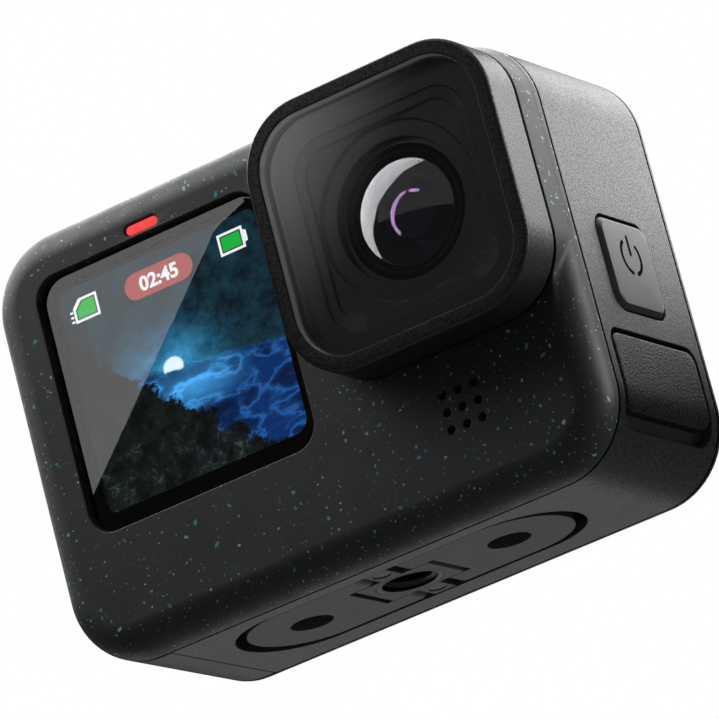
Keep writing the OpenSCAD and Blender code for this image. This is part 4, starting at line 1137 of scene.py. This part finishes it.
# %% Glass with a printed border
def plate(outline, back, front, edge, back_edge, faces="front"):
    """A closed flat piece between two heights, rounded in front and bevelled behind."""
    shape = Shape(faces).rows(outline, [(-back_edge, back), (0, back + back_edge), *soft_edge(edge, front)])
    return shape.cap(outline, front, -edge).cap(outline, back, -back_edge)


PRINT_COLOUR, PRINTED_ROUGH = (0.003, 0.003, 0.0032), 0.004


def window_mask(tree, coords, middle, half, r, fade=0.02):
    """0 in a window with round corners and 1 outside: fold the place round the middle with
    absolute values, shrink it to the corner, and compare the length with the radius."""
    parts = add(tree, "SeparateXYZ", {0: coords}).outputs
    folded = []
    for part, m, h in zip((parts["X"], parts["Z"]), middle, half):
        from_middle = math_node(tree, "ABSOLUTE", math_node(tree, "SUBTRACT", part, m * MM))
        folded.append(math_node(tree, "MAXIMUM", math_node(tree, "SUBTRACT", from_middle, (h - r) * MM), 0.0))
    joined = add(tree, "CombineXYZ", {0: folded[0], 1: folded[1]}).outputs[0]
    return remap(tree, length_of(tree, joined), (r - fade) * MM, (r + fade) * MM)


def printed_pane(name, tint, middle, half, r):
    """The pane finish, with the black print where the mask is 1."""
    made = pane(name, tint, PRINTED_ROUGH, ground=GROUND_EDGE)
    tree = made.node_tree
    coords = add(tree, "TexCoord").outputs["Object"]
    mask = window_mask(tree, coords, middle, half, r)
    dust = remap(tree, noise(tree, coords, 900.0, 3.0), 0.3, 0.7, 0.85, 1.15)
    shade = add(tree, "VectorMath", {0: PRINT_COLOUR, "Scale": dust}, operation="SCALE").outputs[0]
    ink = add(tree, "BsdfDiffuse", {"Color": shade})
    clear = next(n for n in tree.nodes if n.type == "BSDF_TRANSPARENT")
    tree.links.new(mix_shaders(tree, mask, clear, ink).outputs[0], tree.nodes["glass"].inputs[1])
    return made


def bond(obj, on_bond):
    """A screen's glass is glued to its display, so its hidden side hardly mirrors: there its
    index is 1.01, nearly that of air."""
    made = obj.data.materials[0].copy()
    made.name = obj.name + "_bonded_side"
    share = next(n for n in made.node_tree.nodes if n.type == "FRESNEL")
    for link in list(share.inputs["IOR"].links):
        made.node_tree.links.remove(link)
    share.inputs["IOR"].default_value = 1.01
    paint(obj, made, on_bond)


screen_low, screen_high = ends("front_screen_glass")
GLASS_CORNER = 2.9
PICTURE_LOW, PICTURE_HIGH, PICTURE_R = np.array([-27.95, 16.6]), np.array([-0.2, 43.75]), 1.8
BACK_BEVEL, ON_BACK = 0.05, 0.06
picture_middle, picture_half = (PICTURE_LOW + PICTURE_HIGH) / 2, (PICTURE_HIGH - PICTURE_LOW) / 2
screen_side = front_rect(screen_low, screen_high, 0, GLASS_CORNER, 14)
front_pane = printed_pane("front_screen_printed_glass", (0.97, 0.98, 0.99), picture_middle, picture_half,
                          PICTURE_R)
screen_pane = piece(plate(screen_side, -screen_high[1], -screen_low[1], 0.12, BACK_BEVEL), "screen_pane",
                    front_pane, "camera_body", ("front_screen_glass",))
bond(screen_pane, lambda p: -p[:, 1] < -screen_high[1] + ON_BACK)
lights_only(card_left, screen_pane)

# %% [markdown]
# ### What the screen shows
#
# The display shows a made-up night sea, so that it looks switched on: a low moon, swells of
# deep blue with bright crests and a dark shore in front. It is a pattern of three noises. Over
# it float the usual signs: a timer in a red pill, a card and a battery.

# %% Display
def night_sea():
    """A low moon over blue swells, with dark shore in front. A swell's crest is a ridge: one
    minus the distance of a warped noise from one half, raised to a power. The moon is a disc
    whose glow falls off with distance; the shore and the sky lie either side of slanting lines
    that a noise makes uneven."""
    made, tree, shader, coords = new_finish("front_picture_night_sea", Roughness=0.4, Emission_Strength=1.0)
    sums = lambda kind, a, b: math_node(tree, kind, a, b)
    vector = lambda kind, a, b: vector_node(tree, kind, a, b)
    between = lambda value, low, high, *span: remap(tree, value, low, high, *span)
    over = lambda factor, below, above: mix_colour(tree, factor, below, above)
    place = vector("SUBTRACT", coords, (picture_middle[0] * MM, 0, picture_middle[1] * MM))
    parts = add(tree, "SeparateXYZ", {0: place}).outputs
    cloud = add(tree, "TexNoise", {"Vector": place, "Scale": 150.0, "Detail": 3.0}).outputs["Color"]
    push = vector("MULTIPLY", vector("ADD", cloud, (-0.5, -0.5, -0.5)), (0.004, 0.004, 0.004))
    swell = noise(tree, vector("ADD", vector("MULTIPLY", place, (0.7, 1.0, 1.5)), push), 240.0, 4.0, 0.5)
    rock = noise(tree, place, 420.0, 6.0, 0.72)
    grit = noise(tree, vector("MULTIPLY", place, (1.0, 1.0, 1.8)), 1100.0, 4.0, 0.6)

    def ridge(value, width, power):
        """1 where the value is one half, falling to 0 at a width from it, raised to a power."""
        off = sums("ABSOLUTE", sums("SUBTRACT", value, 0.5), 0.0)
        return sums("POWER", between(off, 0.0, width, 1.0, 0.0), power)

    def near(cx, cz, wide, tall):
        """1 at a place and 0 on an ellipse round it."""
        from_it = vector("SUBTRACT", place, (cx * MM, 0, cz * MM))
        away = vector("MULTIPLY", from_it, (1 / (wide * MM), 0, 1 / (tall * MM)))
        return between(length_of(tree, away), 0.0, 1.0, 1.0, 0.0)

    def past(sx, sz, offset_mm, wander_mm, soft_mm):
        """1 on the upper right of a slanting line, whose place wanders with the rock noise."""
        along = sums("ADD", sums("MULTIPLY", parts["X"], sx / MM), sums("MULTIPLY", parts["Z"], sz / MM))
        wander = sums("MULTIPLY", sums("SUBTRACT", rock, 0.5), wander_mm)
        return between(sums("ADD", along, wander), offset_mm - soft_mm, offset_mm + soft_mm)

    halo = sums("POWER", near(-1.4, -0.2, 11.0, 8.0), 2.2)
    path = sums("POWER", near(0.6, -2.6, 8.5, 4.2), 1.3)
    sky = over(between(rock, 0.38, 0.66), (0.001, 0.006, 0.011), (0.008, 0.04, 0.058))
    sky = over(sums("MULTIPLY", halo, between(rock, 0.3, 0.6, 0.35, 1.0)), sky, (0.06, 0.42, 0.78))
    deep = over(between(swell, 0.32, 0.68), (0.0006, 0.006, 0.03), (0.002, 0.03, 0.15))
    sea = over(sums("MULTIPLY", ridge(swell, 0.1, 3.0), 0.5), deep, (0.03, 0.2, 0.62))
    crests = sums("ADD", between(swell, 0.35, 0.65, 0.35, 0.9), ridge(swell, 0.08, 2.0))
    sea = over(sums("MULTIPLY", path, crests), sea, (0.08, 0.45, 0.95))
    picture = over(past(0.12, 1.0, -0.6, 2.5, 0.5), sea, sky)
    moon = sums("MULTIPLY", between(near(-1.4, -0.2, 1.5, 1.3), 0.02, 0.22), past(0.12, 1.0, -0.75, 1.0, 0.1))
    picture = over(moon, picture, (0.8, 0.95, 1.0))
    stone = over(between(rock, 0.4, 0.7), (0.001, 0.0016, 0.0018), (0.011, 0.017, 0.016))
    veins = sums("MULTIPLY", ridge(grit, 0.05, 2.0), between(rock, 0.54, 0.7))
    picture = over(past(0.66, 0.75, -4.2, 9.0, 0.25), over(veins, stone, (0.12, 0.15, 0.15)), picture)
    tree.links.new(picture, shader.inputs["Emission Color"])
    tree.links.new(over(0.5, picture, (0.0, 0.0, 0.0)), shader.inputs["Base Color"])
    return made


display_low, display_high = ends("front_display")
display_side = front_rect(display_low, display_high, 0, 1.0)
display_h = -display_low[1]
piece(plate(display_side, -display_high[1], display_h, 0.08, 0.08), "front_display_panel", display_black,
      "camera_body", ("front_display",))
PICTURE_T, PICTURE_MORE = 0.04, 0.2
picture_side = round_rect(PICTURE_LOW[0] - PICTURE_MORE, PICTURE_HIGH[0] + PICTURE_MORE,
                          PICTURE_LOW[1] - PICTURE_MORE, PICTURE_HIGH[1] + PICTURE_MORE, PICTURE_R)
piece(plate(picture_side, display_h, display_h + PICTURE_T, 0.01, 0.01), "front_picture", night_sea(),
      "camera_body")


# %% [markdown]
# ### Signs over the picture
#
# Signs could be part of the picture's nodes too, but small shapes stay sharper as meshes. They
# are films a hundredth of a millimetre thick that lie on the picture.

# %% Signs on the display
def sign(outlines, name, finish):
    """Flat signs a hair thick on the display, each outline being a list of closed lines."""
    shape = Shape("front")
    low = display_h + PICTURE_T
    for loops in outlines:
        for loop in loops:
            shape.rows(lambda _: loop, [(0, low), (0, low + SIGN_T)])
        shape.fill(loops, low).fill(loops, low + SIGN_T)
    return piece(shape, name, finish, "camera_body", sharp=30)


def battery_line(u0, u1, v0, v1):
    """A battery's outline with its nub on the right."""
    nub, root, tip, m = 0.42, 0.75, 0.6, (v0 + v1) / 2
    return np.array([(u0, v0), (u1, v0), (u1, m - root), (u1 + nub, m - tip), (u1 + nub, m + tip),
                     (u1, m + root), (u1, v1), (u0, v1)])


def card_line(u0, u1, v0, v1):
    """A memory card's outline with a cut corner at the top left."""
    cut = 0.95
    return np.array([(u0, v0), (u1, v0), (u1, v1), (u0 + cut, v1), (u0, v1 - cut)])


def shrunk(line, u0, u1, v0, v1, by):
    """A line drawn in a box that is smaller all round."""
    return line(u0 + by, u1 - by, v0 + by, v1 - by)


SIGN_T, SIGN_STEP, FRAME_W, LEVEL_IN = 0.01, 0.02, 0.3, 0.45
TIMER = (-19.1, -9.9, 38.95, 42.05)
BATTERY = (-6.15, -2.75, 39.5, 42.05)
CARD = (-26.2, -22.8, 39.3, 42.05)
TOOTH, TOOTH_LEFT, TOOTH_LOW, TOOTH_PITCH = (0.4, 0.25), CARD[0] - 0.5, CARD[2] + 0.18, 0.55
pill_line = round_rect(*TIMER, (TIMER[3] - TIMER[2]) / 2 - LEAST_R, 16)
sign([[pill_line()]], "timer_pill", sign_red)
tooth_lows = [TOOTH_LOW + TOOTH_PITCH * k for k in range(3)]
teeth = [[square(TOOTH_LEFT, TOOTH_LEFT + TOOTH[0], low, low + TOOTH[1])] for low in tooth_lows]
sign([[battery_line(*BATTERY), shrunk(square, *BATTERY, FRAME_W)],
      [card_line(*CARD), shrunk(card_line, *CARD, FRAME_W)], *teeth], "sign_frames", sign_white)
sign([[shrunk(square, *BATTERY, LEVEL_IN)], [shrunk(card_line, *CARD, LEVEL_IN)]], "sign_levels", sign_green)


def timer_digits(words, height, name):
    """Digits as a mesh: the default letters made flat, turned to face forwards, scaled to
    their height, widened a little and centred on the pill."""
    thickness, bolder, wider = 0.004, 0.032, 1.04
    curve = bpy.data.curves.new(name, "FONT")
    curve.body, curve.extrude, curve.offset = words, thickness, bolder
    text = bpy.data.objects.new(name, curve)
    scene.collection.objects.link(text)
    mesh = bpy.data.meshes.new_from_object(text.evaluated_get(bpy.context.evaluated_depsgraph_get()))
    bpy.data.objects.remove(text)
    points = np.empty(len(mesh.vertices) * 3)
    mesh.vertices.foreach_get("co", points)
    points = points.reshape(-1, 3)
    low, high = points.min(0), points.max(0)
    scale = height / (high - low)[1]
    flat = (points - (low + high) / 2) * (scale * wider, scale, 0)
    lift = display_h + PICTURE_T + SIGN_STEP + np.where(points[:, 2] > 0, SIGN_T, 0)
    across, along = flat[:, 0] + (TIMER[0] + TIMER[1]) / 2, flat[:, 1] + (TIMER[2] + TIMER[3]) / 2
    mesh.vertices.foreach_set("co", (np.stack([across, -lift, along], 1) * MM).ravel())
    close(mesh, 1e-7)
    mesh.materials.clear()
    mesh.materials.append(sign_white)
    obj = bpy.data.objects.new(name, mesh)
    scene.collection.objects.link(obj)
    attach(obj, "camera_body")
    print(name, len(mesh.polygons), "faces")


timer_digits("02:45", 1.75, "timer_digits")

# %% [markdown]
# ## Status light
#
# A pill of red plastic that guides the light of a small diode to the front. Only its front
# glows; it is brightest along the middle and darker at its rim.

# %% Status light
LIT_DEPTH, RIM_W, RIM_FADE = 0.3, 0.06, 0.07


def light_pipe(name, middle, half, front):
    """Glows in front; the rim is darker by the distance to the pill's edge."""
    made, tree, shader, coords = new_finish(name, Roughness=0.25, Emission_Strength=0.92)
    rim = window_mask(tree, coords, middle, half - RIM_W, half[1] - RIM_W - LEAST_R, RIM_FADE)
    uneven = noise(tree, coords, 1500.0)
    red = mix_colour(tree, remap(tree, uneven, 0.3, 0.7), (0.93, 0.07, 0.065), (1.0, 0.09, 0.085))
    shade = mix_colour(tree, rim, red, (0.3, 0.012, 0.02))
    depth = add(tree, "SeparateXYZ", {0: coords}).outputs[1]
    lit = remap(tree, depth, (-front + LIT_DEPTH - 0.05) * MM, (-front + LIT_DEPTH) * MM, 1.0, 0.0)
    tree.links.new(mix_colour(tree, lit, (0.0, 0.0, 0.0), shade), shader.inputs["Emission Color"])
    tree.links.new(mix_colour(tree, rim, (0.6, 0.03, 0.03), (0.3, 0.01, 0.015)), shader.inputs["Base Color"])
    return made


pill_low, pill_high = ends("front_status_light")
PILL_GAP, PILL_SINK = 0.06, 0.12
pill_middle = (pill_low + pill_high)[[0, 2]] / 2
pill_half = (pill_high - pill_low)[[0, 2]] / 2 - PILL_GAP
pill_front = -pill_low[1] - PILL_SINK
pill_side = front_rect(pill_low, pill_high, -PILL_GAP, pill_half[1] - LEAST_R, 12)
pill_red = light_pipe("status_light_red", pill_middle, pill_half, pill_front)
piece(plate(pill_side, -pill_high[1], pill_front, 0.18, BACK_BEVEL), "status_light", pill_red, "camera_body",
      ("front_status_light",))

# %% [markdown]
# ## Buttons
#
# The mode button sits in a square opening in the side wall and stands a little proud. Its edge is
# a broad chamfer, which catches light on one side and is dark on the other, and the sign on it is
# cut in and painted black: a ring with two gaps and a bar. Each stroke of the sign is an
# outline, so it can be an opening in the button's flat top, with walls and a floor under it.

# %% Strokes and bent walls
def stroke(line, width):
    """The closed outline of a line with round ends: the line moved half the width to one side,
    a half circle, the line moved to the other side and another half circle."""
    along = np.gradient(line, axis=0)
    along /= np.linalg.norm(along, axis=1, keepdims=True)
    beside = np.stack([-along[:, 1], along[:, 0]], 1) * width / 2
    turn = turn_points(6, 0, math.pi)[1:-1]
    end = line[-1] + turn[:, :1] * -beside[-1] + turn[:, 1:] * along[-1] * width / 2
    start = line[0] + turn[:, :1] * beside[0] - turn[:, 1:] * along[0] * width / 2
    return np.concatenate([(line - beside), end, (line + beside)[::-1], start])


def arc(middle, r, start, stop):
    """Points from one angle to another on a circle."""
    return np.array(middle) + r * turn_points(20, math.radians(start), math.radians(stop - start))


def spread(outline, step, grow):
    """A net of points a step apart inside a grown outline, for faces that bend."""
    loop = outline(grow)
    low, high = loop.min(0), loop.max(0)
    u, v = np.meshgrid(np.arange(low[0], high[0], step), np.arange(low[1], high[1], step))
    points = np.column_stack([u.ravel(), v.ravel()])
    return points[inside(points, [loop])]


def right_wall(p):
    """Faces right and follows the body's side: straight above the corner's middle, and below it
    drawn in by the radius minus the root of radius squared less depth squared."""
    below = np.maximum(CORNER_R - p[:, 1], 0)
    drawn = CORNER_R - np.sqrt(np.maximum(CORNER_R ** 2 - below ** 2, 0))
    return np.stack([p[:, 2] - drawn, p[:, 0], p[:, 1]], 1)


# %% Mode button
mode_low, mode_high = ends("mode_button")
MODE_R, MODE_CHAMFER, MODE_EDGE, MODE_INSET, MODE_SKIRT = 2.05, 0.45, 0.12, 0.2, 1.2
POWER_AT, POWER_R, POWER_WIDTH, POWER_DEPTH = (4.25, 24.75), 2.05, 0.5, 0.25
POWER_ARCS, POWER_BAR = [(-72, 42), (127, 254)], (0.3, 1.2, 2.35)
power_strokes = [stroke(arc(POWER_AT, POWER_R, *a), POWER_WIDTH) for a in POWER_ARCS]
power_strokes.append(stroke(np.array(POWER_AT) + [(0, up) for up in POWER_BAR], POWER_WIDTH))


def side_rect(low, high, gap, r, **more):
    """The outline of a box's Y and Z with a gap all round."""
    return round_rect(low[1] - gap, high[1] + gap, low[2] - gap, high[2] + gap, r, 12, **more)


mode_side = side_rect(mode_low, mode_high, -MODE_INSET, MODE_R - MODE_INSET)
mode_top, mode_skirt_h, sign_floor = mode_high[0], mode_high[0] - MODE_SKIRT, mode_high[0] - POWER_DEPTH
PAINT_T, PAINT_GAP = 0.04, 0.01


def mode_button():
    """Skirt, chamfer, a flat top with the strokes cut in, and their walls."""
    c, e = MODE_CHAMFER, MODE_EDGE
    shape = Shape("right").rows(mode_side, [(0, mode_skirt_h), (0, mode_top - c - e),
                                            (-e / 3, mode_top - c - e / 4), (-c + e / 4, mode_top - e / 3),
                                            (-c - e, mode_top)])
    for line in power_strokes:
        shape.rows(lambda _: line, [(0, sign_floor), (0, mode_top)]).fill([line], sign_floor)
    shape.fill([mode_side(-c - e), *power_strokes], mode_top)
    return shape.cap(mode_side, mode_skirt_h)


def power_sign():
    """The paint in the strokes, a film on their floors."""
    shape, low = Shape("right"), sign_floor + PAINT_GAP
    for line in power_strokes:
        shape.rows(lambda _: line, [(0, low), (0, low + PAINT_T)])
        shape.fill([line], low).fill([line], low + PAINT_T)
    return shape


piece(mode_button(), "mode_button_cap", button_plastic, "mode_button", ("mode_button",), sharp=50)
piece(power_sign(), "mode_button_sign", sign_black, "mode_button")

# %% [markdown]
# ## Speaker cover
#
# A sandy plate low in the side wall. It is clipped in with a gap all round, wide above and wider
# below, where a finger gets under it. It follows the wall, which starts to curve in under it.

# %% Speaker cover
speaker_low, speaker_high = ends("speaker_cover")
SPEAKER_R, SPEAKER_T, SPEAKER_EDGE = 1.5, 1.2, 0.22
NET_STEP, NET_IN = 0.9, 0.4
speaker_side = side_rect(speaker_low, speaker_high, 0, SPEAKER_R, spacing=1.0)


def speaker_plate():
    """A plate of even thickness that follows the wall, with a net of points in its two faces."""
    back = right_x - SPEAKER_T
    shape = Shape(right_wall).rows(speaker_side, [(0, back), *soft_edge(SPEAKER_EDGE, right_x)])
    for height, grow in ((right_x, -SPEAKER_EDGE), (back, 0)):
        shape.fill([speaker_side(grow)], height, spread(speaker_side, NET_STEP, grow - NET_IN))
    return shape


piece(speaker_plate(), "speaker_plate", speaker_plastic, "camera_body", ("speaker_cover",))

# %% [markdown]
# ## Rear bezel, rear screen and shutter button
#
# The rear bezel closes the housing and holds the large touch screen; a thin groove parts it
# from the housing. The shutter button is pressed blind, so it is dished and has a red ring.

# %% Rear bezel and screen
back_h = ends("rear_bezel")[1][1]
rear_low, rear_high = ends("rear_touch_glass")
REAR_ROUND, REAR_GLASS_R, WINDOW_EDGE, REAR_SEAM = 0.8, 4.0, 0.15, 0.32


def mirrored(low, high, r):
    """An outline of a box's X and Z as seen from behind."""
    return round_rect(-high[0], -low[0], low[2], high[2], r, 12)


def rear_bezel():
    """Seam, side with a soft edge, and a flat back with the window for the glass."""
    window, seam = mirrored(rear_low - GAP, rear_high + GAP, REAR_GLASS_R), rear_seam_y + REAR_SEAM
    shape = Shape("back").rows(body_outline, [(-SEAM_DEPTH, rear_seam_y), (-SEAM_DEPTH, seam), (0, seam),
                                              *soft_edge(REAR_ROUND, back_h, 8)])
    shape.rows(window, [(0, rear_seam_y), *soft_edge(WINDOW_EDGE, back_h, outward=1)])
    shape.fill([body_outline(-REAR_ROUND), window(WINDOW_EDGE)], back_h)
    return shape.fill([body_outline(-SEAM_DEPTH), window()], rear_seam_y)


rear_frame = piece(rear_bezel(), "rear_frame", housing_plastic, "camera_body", ("rear_bezel",))
# The rear seam's groove is painted near black: painted shade in the groove.
paint(rear_frame, black_and_painted_seam_shade, lambda p: in_shaded_seam(p) & (p[:, 1] < rear_seam_y + REAR_SEAM + 0.01))
REAR_BORDER, REAR_WINDOW_R = 3.2, 0.8
rear_middle = (rear_low + rear_high)[[0, 2]] / 2
rear_half = (rear_high - rear_low)[[0, 2]] / 2 - REAR_BORDER
rear_pane = printed_pane("rear_screen_printed_glass", (0.8, 0.82, 0.84), rear_middle, rear_half,
                         REAR_WINDOW_R)
rear_side = mirrored(rear_low, rear_high, REAR_GLASS_R)
rear_glass = piece(plate(rear_side, rear_low[1], rear_high[1], 0.2, BACK_BEVEL, "back"), "rear_screen_pane",
                   rear_pane, "camera_body", ("rear_touch_glass",))
bond(rear_glass, lambda p: p[:, 1] < rear_low[1] + ON_BACK)
repaint("rear_display", display_black)

# %% Shutter button and its ring
shutter_low, shutter_high = ends("shutter_button")
ring_low, ring_high = ends("shutter_ring")
SHUTTER_SKIRT, SHUTTER_EDGE, DISH, DISH_END = 1.0, 0.4, 0.22, 4.3
RING_W, RING_EDGE = 1.08, 0.12
shutter_top, ring_top = shutter_high[2], ring_high[2]


def capsule(low, high):
    """The outline of a box's X and Y with half circles at its ends."""
    return round_rect(low[0], high[0], low[1], high[1], (high[1] - low[1]) / 2 - LEAST_R, 20)


def dished_button():
    """Side, soft edge, then rings inwards that sink like a cosine to the dish's depth."""
    side, base = capsule(shutter_low, shutter_high), shutter_top - SHUTTER_SKIRT
    inner = np.linspace(SHUTTER_EDGE, DISH_END, 12)[1:]
    sink = DISH * (1 - np.cos(np.pi * (inner - SHUTTER_EDGE) / (DISH_END - SHUTTER_EDGE))) / 2
    shape = Shape("top").rows(side, [(0, base), *soft_edge(SHUTTER_EDGE, shutter_top, 5),
                                     *zip(-inner, shutter_top - sink)])
    return shape.cap(side, shutter_top - DISH, -DISH_END).cap(side, base)


def trim_ring():
    """Outside, bevel, flat top, bevel, inside and base."""
    low, bevel = ring_low[2], ring_top - RING_EDGE
    return Shape("top").rows(capsule(ring_low, ring_high), [
        (0, low), (0, bevel), (-RING_EDGE, ring_top), (-RING_W + RING_EDGE, ring_top), (-RING_W, bevel),
        (-RING_W, low), (0, low)])


piece(dished_button(), "shutter_cap", button_plastic, "shutter_button", ("shutter_button",))
piece(trim_ring(), "shutter_trim_ring", red_plastic, "camera_body", ("shutter_ring",))

# %% [markdown]
# ## Tripod thread
#
# The brass insert in the base is turned black and holds a quarter inch thread, 20 turns to the
# inch. Its bore is a net of points whose radius rises and falls along the axis, and the rise
# climbs one pitch with each turn, so that it becomes one screw line.

# %% Tripod insert
THREAD_PITCH, THREAD_DEPTH, INSERT_WALL, INSERT_EDGE, BORE_EDGE = 1.27, 0.5, 0.72, 0.06, 0.05
THREAD_STEPS, THREAD_ROWS = 72, 64
insert_low, insert_high = ends("tripod_insert")
insert_x, insert_y = (insert_low + insert_high)[:2] / 2
insert_r = (insert_high - insert_low)[0] / 2


def tripod_thread():
    """The bore's radius is the root radius minus the depth times a wave. At a height and an
    angle the wave is a flat-topped ramp of how far (height / pitch - angle / one turn) is from a
    whole number, and it fades out at both ends. The outside is a few rings."""
    low, high, root = insert_low[2], insert_high[2], insert_r - INSERT_WALL
    turn = np.arange(THREAD_STEPS) / THREAD_STEPS
    heights = np.linspace(high - BORE_EDGE, low + BORE_EDGE, THREAD_ROWS)
    phase = heights[:, None] / THREAD_PITCH - turn[None]
    wave = np.clip(3.2 * np.abs(phase - np.round(phase)) - 0.3, 0, 1)
    fade = np.clip((heights - low - 0.1) / 0.5, 0, 1) * np.clip((high - 0.1 - heights) / 0.4, 0, 1)
    outside = [(root + 0.12, low), (insert_r - INSERT_EDGE, low), (insert_r, low + INSERT_EDGE),
               (insert_r, high - INSERT_EDGE), (insert_r - INSERT_EDGE, high), (root + BORE_EDGE, high)]
    rings = [np.full(THREAD_STEPS, r) for r, _ in outside]
    r = np.concatenate([rings, root - THREAD_DEPTH * wave * fade[:, None], rings[:1]])
    level = np.concatenate([[h for _, h in outside], heights, [low]])[:, None] + 0 * r
    angle = turn[None] * math.tau
    across, along = insert_x + r * np.cos(angle), insert_y + r * np.sin(angle)
    return Shape("top").grid(np.stack([across, along, level], -1))


piece(tripod_thread(), "tripod_thread", black_steel, "camera_body", ("tripod_insert",), sharp=40)

# %% [markdown]
# ## Battery door latch
#
# A thumb slides the latch down, so its face has three ribs to grip. A neck goes through the
# slot in the door to a small plate inside, which keeps the latch from falling out.

# %% Latch
RIB, RIB_W, RIB_STEP, RIB_INSET, RIB_EDGE = 0.3, 0.7, 1.6, 1.5, 0.22
LATCH_T, NECK_HALF, NECK_UP, NECK_H, NECK_R = 1.15, 2.0, 2.7, 2.0, 0.3
KEEPER_T, KEEPER_MORE, KEEPER_UP = 0.55, 1.4, 0.5
latch_low, latch_high = ends("door_latch")
latch_face_h, latch_back_h = -latch_low[0], -latch_high[0]
latch_half, latch_up = (latch_high[1] - latch_low[1]) / 2, (latch_high - latch_low)[2]


def latch_line(half, z0, z1, r):
    """An outline on the left side, centred on the latch."""
    middle = -(latch_low[1] + latch_high[1]) / 2
    return round_rect(middle - half, middle + half, latch_low[2] + z0, latch_low[2] + z1, r)


def latch_ribs():
    """Three bars with round edges across the slide."""
    shape, root = Shape("left"), latch_face_h - RIB - 0.1
    for k in (-1, 0, 1):
        z = latch_up / 2 + k * RIB_STEP
        side = latch_line(latch_half - RIB_INSET, z - RIB_W / 2, z + RIB_W / 2, RIB_W / 2 - LEAST_R)
        shape.rows(side, [(0, root), *soft_edge(RIB_EDGE, latch_face_h)])
        shape.cap(side, latch_face_h, -RIB_EDGE).cap(side, root)
    return shape


keeper_h, slide_h, slide_back_h = latch_back_h + KEEPER_T, latch_face_h - RIB, latch_face_h - LATCH_T
slide_side = latch_line(latch_half, 0, latch_up, 0.8)
neck_side = latch_line(NECK_HALF, NECK_UP, NECK_UP + NECK_H, NECK_R)
keeper_side = latch_line(NECK_HALF + KEEPER_MORE, NECK_UP - KEEPER_UP, NECK_UP + NECK_H + KEEPER_UP, NECK_R)
LATCH_PARTS = {
    "latch_slide": plate(slide_side, slide_back_h, slide_h, 0.15, BACK_BEVEL, "left"),
    "latch_ribs": latch_ribs(),
    "latch_neck": plate(neck_side, keeper_h, slide_back_h, 0.02, 0.02, "left"),
    "latch_keeper": plate(keeper_side, latch_back_h, keeper_h, 0.05, BACK_BEVEL, "left"),
}
for name, shape in LATCH_PARTS.items():
    piece(shape, name, housing_plastic, "door_latch", ("door_latch",))

# %% [markdown]
# ## Floor
#
# The floor is a wide pale sheet far below, because the view is from under the base. Most of
# its paleness is only for the camera, as the white behind is, so it lights nothing; the rest is
# matt paint, which can hold a shadow. Far away it fades into the white, as a studio's paper roll
# does.

# %% Floor
FLOOR_Z, FLOOR_HALF, FLOOR_SEEN, FLOOR_FADE, SEEN_SHARE = -0.95, 12.0, 0.82, (1.2, 7.0), 0.8


def floor_finish():
    """Matt paint, mixed with a glow that only the camera sees. The glow's level and its share
    both rise to 1 over the fade's distances from the middle."""
    made, tree, shader, coords = new_finish("floor_paint", Roughness=0.8)
    shade = mix_colour(tree, noise(tree, coords, 30.0), (0.86, 0.86, 0.86), (0.88, 0.88, 0.88))
    tree.links.new(shade, shader.inputs["Base Color"])
    away = length_of(tree, coords)
    pale = add(tree, "Emission", {"Strength": remap(tree, away, *FLOOR_FADE, FLOOR_SEEN, 1.0)})
    camera_ray = add(tree, "LightPath").outputs["Is Camera Ray"]
    share = math_node(tree, "MULTIPLY", camera_ray, remap(tree, away, *FLOOR_FADE, SEEN_SHARE, 1.0))
    mixed = mix_shaders(tree, share, shader, pale)
    tree.links.new(mixed.outputs[0], tree.nodes["Material Output"].inputs["Surface"])
    return made


floor_mesh = bpy.data.meshes.new("floor")
floor_corners = square(-FLOOR_HALF, FLOOR_HALF, -FLOOR_HALF, FLOOR_HALF).tolist()
floor_mesh.from_pydata([(x, y, FLOOR_Z) for x, y in floor_corners], [], [(0, 1, 2, 3)])
floor_mesh.materials.append(floor_finish())
floor = bpy.data.objects.new("floor", floor_mesh)
scene.collection.objects.link(floor)
print("floor", 2 * FLOOR_HALF, "m wide,", -FLOOR_Z, "m below the base")
